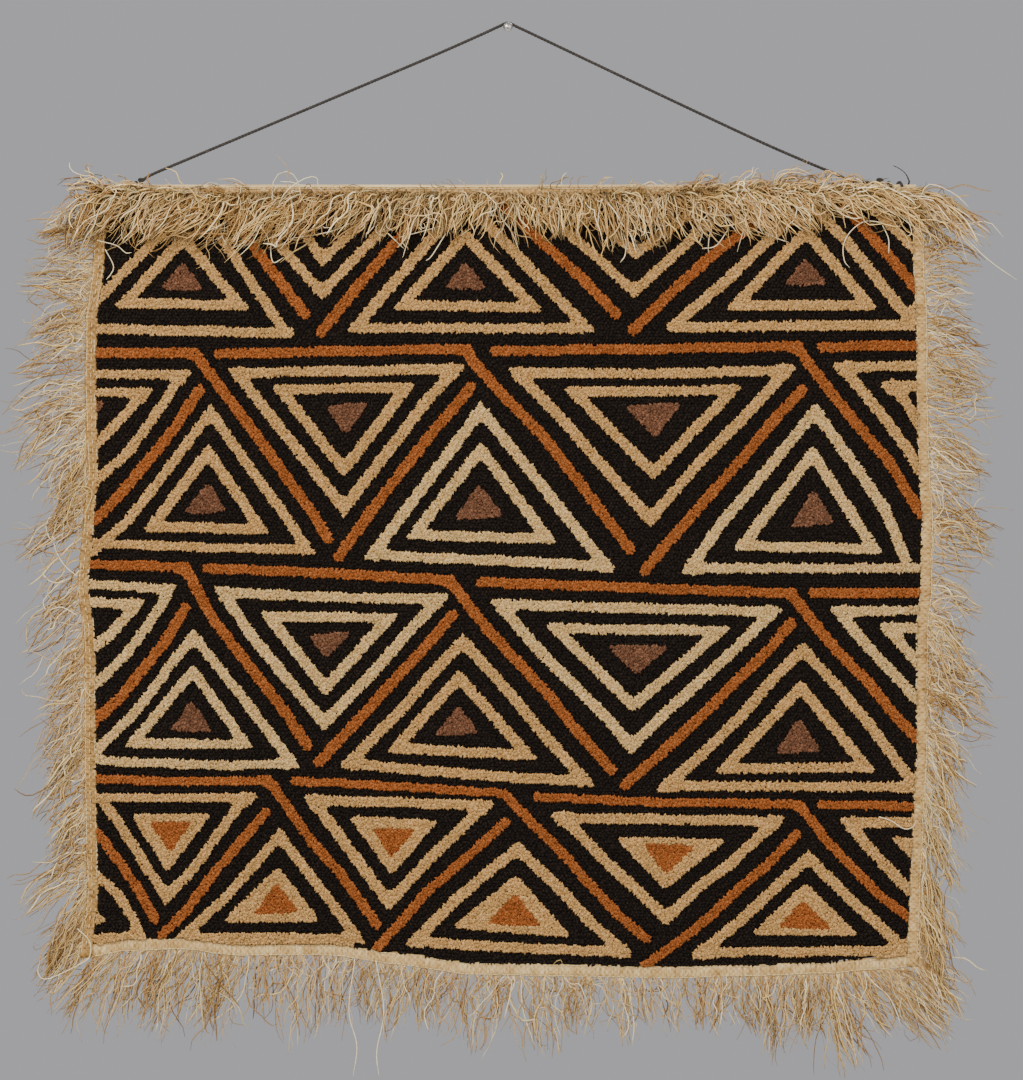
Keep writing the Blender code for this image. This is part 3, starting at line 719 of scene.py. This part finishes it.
def line_distance(px, py, spots):
    """Distance from a charted line, whose sharp corners are pointed outside and filled inside."""
    lengths = []
    for (x0, y0), (x1, y1) in zip(spots, spots[1:]):
        run = (x1 - x0) ** 2 + (y1 - y0) ** 2
        share = np.clip(((px - x0) * (x1 - x0) + (py - y0) * (y1 - y0)) / run, 0, 1)
        away = np.hypot(px - x0 - share * (x1 - x0), py - y0 - share * (y1 - y0))
        lengths.append(away * slimmed(x1 - x0, math.sqrt(run)))
    best = np.min(lengths, 0)
    for before, here, after, one, two in zip(spots, spots[1:], spots[2:], lengths, lengths[1:]):
        first = (here - before) / np.hypot(*(here - before))
        second = (after - here) / np.hypot(*(after - here))
        if first @ second > math.cos(math.radians(CORNER_TURN)):
            continue
        away = [np.abs(way[0] * (py - here[1]) - way[1] * (px - here[0]))
                for way in (first, second)]
        close = np.hypot(px - here[0], py - here[1]) < CORNER_REACH
        best = np.where(close, np.minimum(best, np.maximum(*away)), best)
        inward = second - first
        inside = (px - here[0]) * inward[0] + (py - here[1]) * inward[1] > 0
        even = np.clip(1 - np.abs(one - two) / CORNER_FILL, 0, 1)
        filled = np.minimum(one, two) - even ** 2 * CORNER_FILL / 4
        best = np.where(inside, np.minimum(best, filled), best)
    return best


def charted(x, level):
    """Colour of the pattern at each point."""
    px = x / PIXEL + PIN_AT[0]
    py = PIN_AT[1] - level / PIXEL
    found = np.full(len(px), BLACK)
    for color, wide, *points in LINES:
        spots = np.asarray(points, float)
        low, high = spots.min(0) - wide, spots.max(0) + wide
        near = np.flatnonzero((px > low[0]) & (px < high[0]) & (py > low[1]) & (py < high[1]))
        if len(points) == 4 and points[0] == points[-1]:
            reach = edge_reach(px[near], py[near], spots[:3])
            found[near[(reach > EDGE) & (reach < wide - EDGE)]] = color
            continue
        if points[0] == points[-1]:
            spots = np.vstack((spots, spots[1:2]))
        found[near[line_distance(px[near], py[near], spots) < wide / 2 - EDGE]] = color
    for color, *corners in FILLS:
        found[edge_reach(px, py, corners) > -SWELL] = color
    return found


def mixed(codes, share):
    """Linear colours between three tones, share from 0 to 1."""
    low, middle, high = (np.array(tone(code)) for code in codes)
    share = np.asarray(share)[:, None] * 2
    return np.where(share < 1, low + (middle - low) * share, middle + (high - middle) * (share - 1))


# The sheet and its bands
SHEET_ACROSS = 110
SHEET_DOWN = 100
SHEET_THICK = 1.0
STITCH_SHARE = 0.1  # the stitches under the pile take nearly its darkest tone


def make_sheet():
    bm, shares = new_grid(SHEET_ACROSS, SHEET_DOWN)
    across, down = shares[:, 0], 1 - shares[:, 1]
    rough = SIDES["left"][-1] + across * (SIDES["right"][-1] - SIDES["left"][-1])
    level = PANEL_TOP + down * (low_edge(rough) + EDGE_BAND + SEAT - PANEL_TOP)
    left = side_edge("left", level) + EDGE_BAND + SEAT
    right = side_edge("right", level) - EDGE_BAND - SEAT
    x = left + across * (right - left)
    points = np.stack((x, cloth_depth(x, level) + SHEET_THICK / 2, level), -1)
    found = charted(x, level)
    tones = np.zeros((len(x), 3))
    for color, codes in PILE_TONES.items():
        chosen = found == color
        tones[chosen] = mixed(codes, np.full(chosen.sum(), STITCH_SHARE))
    return grid_piece("woven_ground", bm, points, SHEET_THICK, ground_material(),
                      "cloth_panel", tones)


BAND_STEPS = 180
BAND_WIDE = 8
BAND_THICK = 1.2
TOP_RISE = 2.4  # the cloth's top edge is drawn up in front of the rod
BAND_FOOT = {"left": -300.0, "right": 292.0}  # x where a side band meets the hem
BAND_RUN = {"bottom": (-296.0, 588.0), "top": (-295.0, 592.0)}  # first x of a band, its length
BAND_OUT = (-0.14, 1.1)  # where a band's weave starts, and its width, as shares of the band
STRAP_DRAWN = (900.0, 600.0, 160.0)  # noise scale across, through and along upright straps
# A band's weave: its dark, middle and light tones
BAND_TONES = {
    "left": ("#6a4b26", "#a8854c", "#c9a66c"), "right": ("#8a6938", "#c09f66", "#dcc18c"),
    "bottom": ("#a08049", "#cdb07a", "#e8d4a5"), "top": ("#7c5a2c", "#bd9a62", "#dcc08c"),
}
ROLLS = {"left": 2, "right": 1, "bottom": 1, "top": 1}  # rounded ridges that run along a band
ROLL_HIGH = 0.9
BAND_LIFT = 0.4
RIPPLES = ((0.35, 190, 0), (0.3, 83, 1.3))  # height, rate and shift of a band's unevenness
RIPPLE_THROUGH = 0.7


def band_spot(side, along, out):
    """Point on a band's middle, along it and out from the panel to its rim, both 0 to 1."""
    reach = SEAT + out * EDGE_BAND
    if side in BAND_FOOT:
        level = PANEL_TOP + along * (low_edge(np.array(BAND_FOOT[side])) - PANEL_TOP)
        inward = 1 if side == "left" else -1
        x = side_edge(side, level) + inward * (EDGE_BAND + SEAT - reach)
        return np.stack((x, cloth_depth(x, level), level), -1)
    first, long = BAND_RUN[side]
    x = first + along * long
    if side == "bottom":
        level = low_edge(x) + EDGE_BAND + SEAT - reach
        return np.stack((x, cloth_depth(x, level), level), -1)
    level = PANEL_TOP + SEAT + out * (TOP_BAND + TOP_RISE) + 0 * x
    return np.stack((x, CLOTH_DEPTH + 0 * x, level), -1)


def make_band(side):
    """Woven strip with its edges a little wavy."""
    drawn = STRAP_DRAWN if side in BAND_RUN else STRAP_DRAWN[::-1]
    stops = tuple(zip((0.3, 0.5, 0.72), BAND_TONES[side]))
    material = band_material(side + "_band_weave", drawn, stops)
    bm, shares = new_grid(BAND_STEPS, BAND_WIDE)
    along, out = shares.T
    points = band_spot(side, along, out * BAND_OUT[1] + BAND_OUT[0])
    ripple = sum(high * np.sin(along * rate + shift) for high, rate, shift in RIPPLES)
    roll = ROLL_HIGH * np.abs(np.sin(math.pi * ROLLS[side] * out))
    points[:, 1] += ripple * RIPPLE_THROUGH + BAND_LIFT + roll
    return grid_piece(side + "_woven_band", bm, points, BAND_THICK, material,
                      "fringe_" + side)


# Threads along a band: where their rows run, as shares of its width
THREAD_ROWS = {
    "left": (0.06, 0.5, 0.9), "right": (0.06, 0.92), "bottom": (0.05, 0.93), "top": (0.93,),
}
STITCH_ROW = 0.5  # this row is of separate short stitches
THREAD_POINTS = 360
THREAD_LIFT = 0.9
STITCH_LIFT = 0.3
THREAD_WIDE = (0.42, 0.62)  # half widths
THREAD_ENDS = (0.75, 1.0, 0.75)


def make_threads(side, dice, material):
    """Selvedge threads along a band, and the row of short stitches down its middle."""
    paths = []
    for row in THREAD_ROWS[side]:
        along = np.linspace(0.003, 0.997, THREAD_POINTS)
        line = band_spot(side, along, np.full(THREAD_POINTS, row) * 0.96)
        line[:, 1] += THREAD_LIFT
        wander = np.cumsum(dice.normal(0, 0.05, THREAD_POINTS))
        wander = wander - np.linspace(wander[0], wander[-1], THREAD_POINTS)
        line[:, 2 if side in BAND_RUN else 0] += wander
        if row == STITCH_ROW:
            line[:, 1] += STITCH_LIFT
            paths += [line[first:first + 3] for first in range(0, THREAD_POINTS - 5, 4)]
        else:
            paths += [line[first:first + 3] + dice.normal(0, 0.1, 3)
                      for first in range(0, THREAD_POINTS - 3, 2)]
    paths = np.array(paths)
    count = len(paths)
    wide = dice.uniform(*THREAD_WIDE, (count, 1)) * np.array(THREAD_ENDS)
    tubes = swept(paths, wide, wide * 0.8, np.zeros((count, 3)), 5)
    return tube_piece(side + "_edge_threads", tubes, material, "fringe_" + side)


# Pile: spacing, reach of a tuft's cut top, and height; the black rows are cut lowest
TUFTS = {
    BLACK: (2.5, 2.2, 1.2), GOLD: (1.5, 1.72, 2.5), PALE: (1.5, 1.72, 2.5),
    ORANGE: (1.5, 1.72, 2.2), BROWN: (1.5, 1.72, 2.1),
}
PILE_NAMES = {BLACK: "black_pile", GOLD: "gold_pile", PALE: "pale_pile", ORANGE: "rust_pile",
              BROWN: "brown_pile"}
PILE_SPLIT = -396.0  # level where each colour's pile is parted into two pieces
PILE_CLEAR = (0.6, 0.8)  # between the roots and the panel's upright and level edges
UNEVEN = 0.12  # share of the spacing by which roots stray
ROOT_DEEP = 0.25
PILE_LEAN = 0.2  # how far the tops lean, and hang, on average


def tuft_roots(gap, dice):
    """Staggered rows of roots over the panel, slightly uneven."""
    rows = np.arange(-672, -126, gap * 0.87)
    x, level = np.meshgrid(np.arange(-300, 300, gap), rows)
    x = (x + (np.arange(len(rows)) % 2 * gap / 2)[:, None]).ravel()
    x = x + dice.normal(0, gap * UNEVEN, len(x))
    level = level.ravel() + dice.normal(0, gap * UNEVEN, len(x))
    beside, above = PILE_CLEAR
    inside = x > side_edge("left", level) + EDGE_BAND + beside
    inside &= x < side_edge("right", level) - EDGE_BAND - beside
    inside &= level > low_edge(x) + EDGE_BAND + above
    inside &= level < TOP_LEVEL - TOP_BAND - above
    return x[inside], level[inside]


def make_tufts(name, x, level, color, dice, material):
    """Tufts that spread from their root to a cut top, each top a little tilted."""
    gap, half, high = TUFTS[color]
    count = len(x)
    foot = np.stack((x, cloth_depth(x, level) + SHEET_THICK / 2 - ROOT_DEEP, level), -1)
    spin = dice.uniform(0, 2 * math.pi, count)
    lean = dice.normal(0, PILE_LEAN, (count, 2)) + (0, -PILE_LEAN)
    rise = high * dice.uniform(0.85, 1.1, count)
    corners = []
    for step in range(3):
        angle = spin + step * 2 * math.pi / 3
        reach = half * dice.uniform(0.8, 1.1, count)
        ring = (np.cos(angle) * reach + lean[:, 0], rise + dice.normal(0, 0.16, count),
                np.sin(angle) * reach + lean[:, 1])
        corners.append(foot + np.stack(ring, -1))
    points = np.stack((*corners, foot), 1)
    faces = np.array(((0, 1, 3), (1, 2, 3), (2, 0, 3), (0, 2, 1)))
    faces = np.arange(count)[:, None, None] * 4 + faces
    tones = mixed(PILE_TONES[color], dice.beta(2.5, 2.5, count))[:, None].repeat(4, 1)
    mesh = mesh_of(name, points, faces, tones)
    if mesh.polygons[3].normal.y > 0:
        mesh.flip_normals()
    return link_mesh(name, mesh, material)


def make_pile():
    dice = np.random.default_rng(5)
    material = pile_material()
    coarse = tuft_roots(TUFTS[BLACK][0], dice)
    fine = tuft_roots(TUFTS[GOLD][0], dice)
    dark = charted(*coarse)
    lit = charted(*fine)
    pieces = []
    for color, name in PILE_NAMES.items():
        (x, level), found = (coarse, dark) if color == BLACK else (fine, lit)
        for part, chosen in (("upper", level > PILE_SPLIT), ("lower", level <= PILE_SPLIT)):
            pick = (found == color) & chosen
            if pick.any():
                pieces.append(make_tufts(name + "_" + part, x[pick], level[pick], color, dice,
                                         material))
    return pieces


# Fringe: as in the solids, with how many strands grow along each edge
FRINGES = {
    "left": {
        "at": (-663, -630, -590, -545, -500, -455, -396, -368, -345, -300, -268, -242,
               -210, -172, -126),
        "root": (228, 222, 212, 208, 222, 232, 224, 215, 218, 214, 200, 184, 188, 188, 186),
        "tip": (234, 240, 232, 226, 236, 246, 240, 224, 228, 230, 222, 196, 202, 194, 200),
        "long": (52, 54, 52, 50, 58, 54, 46, 50, 60, 58, 62, 52, 54, 56, 42),
        "full": (0.8, 1, 1, 0.8, 1, 1, 0.6, 0.04, 0.9, 1, 0.9, 0.5, 1, 1, 1),
        "loose": (0.6, 0.6, 0.7, 0.8, 0.75, 0.7, 0.7, 0.6, 0.65, 0.8, 0.9, 1, 0.8, 0.8, 1),
        "side": "left", "strands": 1240, "clump": 23.0,
    },
    "right": {
        "at": (-669, -640, -600, -560, -520, -470, -420, -378, -345, -310, -270, -235,
               -200, -165, -126),
        "root": (-46, -54, -60, -58, -46, -24, -22, -18, -22, -14, -4, 0, 2, 8, 5),
        "tip": (-56, -62, -72, -76, -68, -46, -38, -32, -42, -38, -30, -22, -14, -38, -30),
        "long": (52, 54, 54, 58, 58, 55, 54, 38, 60, 54, 50, 55, 46, 44, 36),
        "full": (1, 1, 1, 1, 0.9, 1, 1, 0.3, 1, 0.8, 0.6, 0.9, 0.5, 0.7, 0.6),
        "loose": (0.5, 0.45, 0.45, 0.5, 0.6, 0.9, 0.9, 1, 0.9, 0.8, 0.9, 1, 1, 1, 1),
        "side": "right", "strands": 1240, "clump": 15.0,
    },
    "bottom": {
        "at": (-297, -265, -225, -180, -130, -100, -20, 50, 100, 130, 160, 205, 250, 291),
        "root": (238, 240, 245, 244, 250, 262, 268, 270, 272, 274, 276, 284, 296, 304),
        "tip": (234, 242, 250, 256, 262, 270, 272, 268, 274, 276, 278, 292, 302, 310),
        "long": (64, 62, 60, 60, 58, 58, 54, 56, 44, 40, 54, 60, 62, 60),
        "full": (0.58, 0.68, 0.68, 0.56, 0.52, 0.52, 0.5, 0.52, 0.4, 0.3, 0.7, 1, 1, 1),
        "loose": (0.5, 0.5, 0.6, 0.7, 0.8, 0.9, 0.9, 0.9, 0.8, 0.7, 0.6, 0.55, 0.55, 0.55),
        "side": "bottom", "strands": 1260, "clump": 19.0,
    },
    "top": {
        "at": (-298, -265, -220, -160, -100, -40, 20, 80, 130, 165, 200, 245, 275, 300),
        "root": (205, 218, 236, 238, 236, 250, 278, 288, 304, 326, 344, 344, 338, 332),
        "tip": (246, 238, 216, 208, 236, 262, 276, 284, 296, 302, 322, 328, 318, 304),
        "long": (54, 54, 54, 54, 48, 43, 42, 42, 48, 50, 40, 42, 66, 80),
        "full": (1, 1, 1, 1, 0.9, 0.8, 0.8, 0.8, 0.9, 1, 0.9, 0.75, 0.8, 1),
        "loose": (1, 1, 1, 1, 1.3, 1.4, 1.4, 1.4, 1.3, 1.1, 1, 0.9, 0.7, 0.5),
        "side": "top", "strands": 2000, "clump": 12.0,
    },
    # Strands that stand up over the rod before they fall
    "crest": {
        "at": (-298, -270, -250, -100, 100, 140, 175, 215, 240, 260, 268, 284, 290, 300),
        "root": (140, 145, 150, 130, 70, 60, 62, 70, 60, 40, 30, 30, 25, 20),
        "tip": (215, 215, 220, 230, -60, -50, -30, -30, -50, -50, -50, -50, -50, -50),
        "long": (30, 26, 18, 12, 16, 22, 26, 29, 27, 20, 14, 14, 14, 14),
        "full": (0.9, 0.9, 0.1, 0.04, 0.12, 0.6, 0.9, 1, 0.9, 0.4, 0.1, 0, 0, 0),
        "loose": (1,) * 14,
        "side": "top", "climb": 0.3, "strands": 340, "clump": 12.0,
    },
}
ROOT_OUT = 0.9
TOP_ROOTS = (0.3, 0.72)  # where the strands of the top fringe leave their band
STRAND_STEPS = 11
STRAND_WIDE = (0.32, 0.74)  # half widths
# The pale tones, the palest above all, are partly the raffia's own paler strands and partly painted
# highlight
RAFFIA_TONES = {
    "straw": ("#a27d4a", "#bb9762", "#d2b281"),
    "pale": ("#d0ae68", "#e2c688", "#f5e7c2"),
    "brown": ("#84602c", "#9a733c", "#b0864e"),
}
# How loosely strands lie, in degrees: the spread of their headings and their kinks, and the
# least and the most that they wave, crimp, curl and loop
START_SPREAD, END_SPREAD, KINK_SPREAD = 20, 30, 48
WAVE, CRIMP, CURL, LOOP = (8, 58), (4, 30), (60, 230), (140, 320)
CURLED, LOOPED = 0.42, 0.2  # shares of the strands
LOOP_SHORT = 0.75
CRIMP_RATE, KINK_SHARP = 15, 24
CLUMP_TURN, CLUMP_FORWARD = 11, 1.6  # by which the clumps of a fringe differ
CLUMP_LONG = (0.76, 1.14)
CLUMP_PULL = (0.1, 0.85)  # how far a strand keeps to the middle line of its clump
LEAST_LONG = {"top": 0.35}  # shortest strand as a share of its clump, where it isn't as below
MOST_LONG = 1.22
TOP_LIFT, TOP_LAYER = 2.2, 6.5  # how far forward the top fringe hangs, and how thick it is
SIDE_LAYER = 7
WALL_CLEAR = 1.2
STRAND_FLAT = 0.42  # section, thickness over width
# Lightness at a strand's root and what it gains to the tip; lowest in the layer and what it
# gains on top, which is painted shade from the strands over it. Only the top fringe is darker
# at its roots, painted shade under the rod, and lighter towards its free tips.
TOP_SHADE = (0.9, 0.42, 0.26, 1.0)
SIDE_SHADE = (1.08, -0.12, 0.6, 0.52)


def headed(angle):
    return np.stack((np.cos(np.radians(angle)), np.sin(np.radians(angle))), -1)


def walk(root, start, end, length, bends):
    """Paths in x and level that turn between two headings, with waves, a kink and a curl."""
    share = (np.arange(STRAND_STEPS) + 0.5) / STRAND_STEPS
    bends = {name: values[:, None] for name, values in bends.items()}
    angle = start[:, None] + (end - start)[:, None] * share
    angle = angle + bends["wave"] * np.sin(share * bends["turns"] + bends["shift"])
    angle = angle + bends["crimp"] * np.sin(share * CRIMP_RATE + bends["shift"] * 3)
    angle = angle + bends["kink"] / (1 + np.exp((bends["at"] - share) * KINK_SHARP))
    angle = angle + bends["curl"] * np.clip(share * 1.6 - 0.6, 0, 1) ** 1.5
    moves = headed(angle) * (length / STRAND_STEPS)[:, None, None]
    path = np.concatenate((np.zeros((len(root), 1, 2)), np.cumsum(moves, 1)), 1)
    return root[:, None] + path


def fringe_root(side, where, dice, climb):
    """Roots in a band, just inside its rim, or up and down the face of the top one."""
    if side in BAND_FOOT:
        low = low_edge(np.array(BAND_FOOT[side]))
        return band_spot(side, (where - PANEL_TOP) / (low - PANEL_TOP), ROOT_OUT)
    first, long = BAND_RUN[side]
    out = ROOT_OUT if side == "bottom" else dice.uniform(*TOP_ROOTS, len(where)) + climb
    return band_spot(side, (where - first) / long, out)


def fringe_paths(table, where, own_turn, own_long, loose, dice):
    """Roots and flat paths; loose is 0 for the middle line of a clump and 1 for a strand."""
    size = len(where)
    start, end, long, loosened = (eased(table["at"], table[name], where)
                                  for name in ("root", "tip", "long", "loose"))
    loose = loose * loosened
    start = start + own_turn * 0.6 + dice.normal(0, START_SPREAD * loose, size)
    end = end + own_turn + dice.normal(0, END_SPREAD * loose, size)
    sign = dice.choice((-1, 1), size)
    bends = {
        "wave": dice.uniform(*WAVE, size) * loose, "turns": dice.uniform(3, 9, size),
        "shift": dice.uniform(0, 6.28, size), "kink": dice.normal(0, KINK_SPREAD * loose, size),
        "at": dice.uniform(0.1, 0.8, size), "crimp": dice.uniform(*CRIMP, size) * (loose > 0),
        "curl": sign * dice.uniform(*CURL, size) * (dice.random(size) < CURLED * loose),
    }
    # Some make a whole loop close to the cloth
    loop = dice.choice((-1, 1), size) * dice.uniform(*LOOP, size)
    loop = loop * (dice.random(size) < LOOPED * loose)
    root = fringe_root(table["side"], where, dice, table.get("climb", 0))
    long = long * own_long * np.where(loop, LOOP_SHORT, 1)
    return root, walk(root[:, (0, 2)], start, end + loop, long, bends)


def strand_tones(side, spots, dice):
    """Each strand is straw, pale or brown; the brown ones gather at the top left."""
    count = len(spots)
    kind = dice.random(count)[:, None]
    brown = 0.07 + (0.2 if side == "top" else 0.03) * np.clip(-spots / 300, 0, 1)[:, None]
    tones = mixed(RAFFIA_TONES["straw"], dice.random(count))
    # The pale strands stand partly for painted highlight
    pale = 0.52 if side == "right" else 0.42
    tones = np.where(kind < pale, mixed(RAFFIA_TONES["pale"], dice.random(count)), tones)
    return np.where(kind > 1 - brown, mixed(RAFFIA_TONES["brown"], dice.random(count)), tones)


def make_fringe(name, dice, material):
    table = FRINGES[name]
    side = table["side"]
    count = table["strands"]
    spots = dice.uniform(table["at"][0], table["at"][-1], count * 12)
    spots = spots[dice.random(len(spots)) < eased(table["at"], table["full"], spots)][:count]
    count = len(spots)
    clump = np.round(spots / table["clump"] + dice.normal(0, 0.22, count)).astype(int)
    clump -= clump.min()
    groups = clump.max() + 1
    turn = dice.normal(0, CLUMP_TURN, groups)
    stretch = dice.uniform(*CLUMP_LONG, groups)
    forward = dice.normal(0, CLUMP_FORWARD, groups)
    middle = np.array([spots[clump == each].mean() if (clump == each).any() else 0
                       for each in range(groups)])
    _, axes = fringe_paths(table, middle, turn, stretch, 0, dice)
    own_long = stretch[clump] * dice.uniform(LEAST_LONG.get(side, 0.5), MOST_LONG, count)
    root, flat = fringe_paths(table, spots, turn[clump], own_long, 1, dice)
    share = np.linspace(0, 1, STRAND_STEPS + 1)
    pull = share[:, None] * dice.uniform(*CLUMP_PULL, count)[:, None, None]
    flat = flat * (1 - pull) + axes[clump] * pull
    layer = dice.uniform(0, 1, count)[:, None]
    ripple = dice.uniform(0.3, 1.8, count)[:, None]
    ripple = ripple * np.sin(share * 8 + dice.uniform(0, 6.28, count)[:, None])
    if side == "top":
        rise = np.clip(share * 6, 0, 1)
        rest = np.maximum(cloth_depth(flat[..., 0], flat[..., 1]), CLOTH_DEPTH)
        depth = rest + 1.4 + rise * (TOP_LIFT + layer * TOP_LAYER) + ripple * rise
    else:
        out = forward[clump][:, None] + (layer - 0.5) * SIDE_LAYER
        depth = np.maximum(root[:, 1:2] + 0.4 + out * share + ripple * share, WALL_CLEAR)
    path = np.stack((flat[..., 0], depth, flat[..., 1]), -1)
    fine, bold = STRAND_WIDE
    wide = fine + (bold - fine) * dice.random(count)[:, None] ** 2.5
    wide = wide * np.clip((1.02 - share) * 7, 0.35, 1)
    spin = dice.uniform(0, 3.1, count)[:, None] + share * dice.normal(0, 1.2, count)[:, None]
    tubes = swept(path, wide, wide * STRAND_FLAT, spin * 0.35, 3)
    # Painted shade: strands low in their layer are darker, and so are the roots of the top fringe
    root_shade, tip_more, low_shade, over_more = TOP_SHADE if side == "top" else SIDE_SHADE
    shade = (root_shade + tip_more * share) * (low_shade + over_more * layer)
    tones = strand_tones(side, spots, dice)[:, None] * shade[..., None]
    return tube_piece(name + "_raffia_fringe", tubes, material, "fringe_" + side,
                      tones[:, :, None].repeat(3, 2))


# Loose strands that lie alone, each by its points in photograph pixels
STRAYS = (
    ((147, 208), (155, 226), (172, 241)), ((98, 241), (117, 246), (126, 253), (132, 253)),
    ((106, 250), (114, 266), (111, 275), (107, 280)), ((219, 218), (222, 235), (228, 247)),
    ((273, 234), (271, 250), (274, 263), (284, 258)), ((290, 239), (331, 232), (358, 220)),
    ((384, 230), (404, 249)), ((446, 234), (432, 256), (426, 261)),
    ((399, 238), (432, 229), (460, 220), (472, 213)),
    ((616, 226), (625, 239), (625, 255), (620, 263)), ((655, 231), (672, 224), (681, 210)),
    ((699, 243), (708, 222), (725, 215), (743, 223), (737, 252)),
    ((702, 249), (716, 246), (729, 228)), ((750, 222), (771, 236), (789, 243)),
    ((881, 223), (864, 222), (850, 232), (843, 246), (844, 261), (849, 268)),
    ((882, 226), (888, 239), (888, 254)), ((886, 211), (905, 219), (911, 233), (906, 237)),
    ((355, 958), (349, 1010), (357, 1045), (353, 1077)),
    ((376, 960), (384, 1010), (377, 1050), (379, 1076)),
    ((930, 205), (966, 240), (990, 262), (1016, 280)),
    ((78, 576), (66, 566), (57, 552), (53, 536)),
    ((78, 615), (62, 607), (48, 610), (44, 601), (55, 588), (66, 578)),
    ((878, 816), (890, 820), (903, 828), (912, 826), (915, 819)),
    ((78, 928), (90, 940), (91, 954), (83, 962), (49, 978), (39, 972), (41, 960)),
)

STRAY_POINTS = 24
STRAY_WIDE = 0.36


def make_strays(material):
    paths = []
    ramp = np.linspace(0, 1, STRAY_POINTS)
    for route in STRAYS:
        x, level = photo(*np.array(route, float).T)
        line = spline_through(np.stack((x, 0 * x, level), -1), STRAY_POINTS)
        lift = 4.6 + 1.2 * np.sin(ramp * 5 + len(paths))
        line[:, 1] = np.maximum(cloth_depth(line[:, 0], line[:, 2]), 6.0) + lift
        paths.append(line)
    wide = np.full((len(paths), STRAY_POINTS), STRAY_WIDE) * np.clip((1.04 - ramp) * 5, 0.4, 1)
    tubes = swept(np.array(paths), wide, wide * 0.6, np.zeros(wide.shape), 4)
    tones = np.full((tubes[0].size // 3, 3), tone(RAFFIA_TONES["pale"][2]))
    return tube_piece("stray_raffia_strands", tubes, material, tones=tones)


def make_cloth():
    sheet = make_sheet()
    pieces = make_pile()
    strand_look = raffia_material()
    thread_look = thread_material()
    dice = np.random.default_rng(17)
    for side in ("left", "right", "bottom", "top"):
        pieces.append(make_band(side))
        pieces.append(make_threads(side, dice, thread_look))
    for name in FRINGES:
        pieces.append(make_fringe(name, dice, strand_look))
    pieces.append(make_strays(strand_look))


make_cloth()

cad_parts["hanging_rod"].material_slots[0].material = wood_material()
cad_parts["wall_pin"].material_slots[0].material = steel_material()


# Plain floor and soft studio light
def add_area(name, where, aim, size, power, code):
    data = bpy.data.lights.new(name, "AREA")
    data.shape = "SQUARE"
    data.size = size
    data.energy = power
    data.color = tone(code)
    lamp = bpy.data.objects.new(name, data)
    lamp.location = where
    way = np.array(aim, float) - np.array(where, float)
    way /= np.linalg.norm(way)
    lamp.rotation_euler = (math.acos(-way[2]), 0, math.atan2(way[1], way[0]) - math.pi / 2)
    bpy.context.scene.collection.objects.link(lamp)


def make_studio():
    bm = bmesh.new()
    bmesh.ops.create_grid(bm, x_segments=1, y_segments=1, size=4.0)
    bmesh.ops.translate(bm, vec=(0, 0, -1.5), verts=bm.verts)
    mesh = bpy.data.meshes.new("studio_floor")
    bm.to_mesh(mesh)
    bm.free()
    mesh.materials.append(floor_material())
    floor = bpy.data.objects.new("studio_floor", mesh)
    bpy.context.scene.collection.objects.link(floor)
    world = bpy.data.worlds.new("soft_room")
    world.use_nodes = True
    sky = world.node_tree.nodes["Background"]
    sky.inputs["Color"].default_value = (*tone("#a3a3a6"), 1)
    sky.inputs["Strength"].default_value = 1.1
    bpy.context.scene.world = world
    middle = (0, 0, -0.37)
    add_area("window_light", (-1.4, -2.2, 1.0), middle, 1.4, 92, "#fff4e4")
    add_area("room_light", (1.8, -2.4, 0.2), middle, 1.8, 48, "#fbf6f0")
    add_area("rear_light", (0.6, 2.6, 0.8), middle, 1.8, 30, "#f4f4ff")


make_studio()
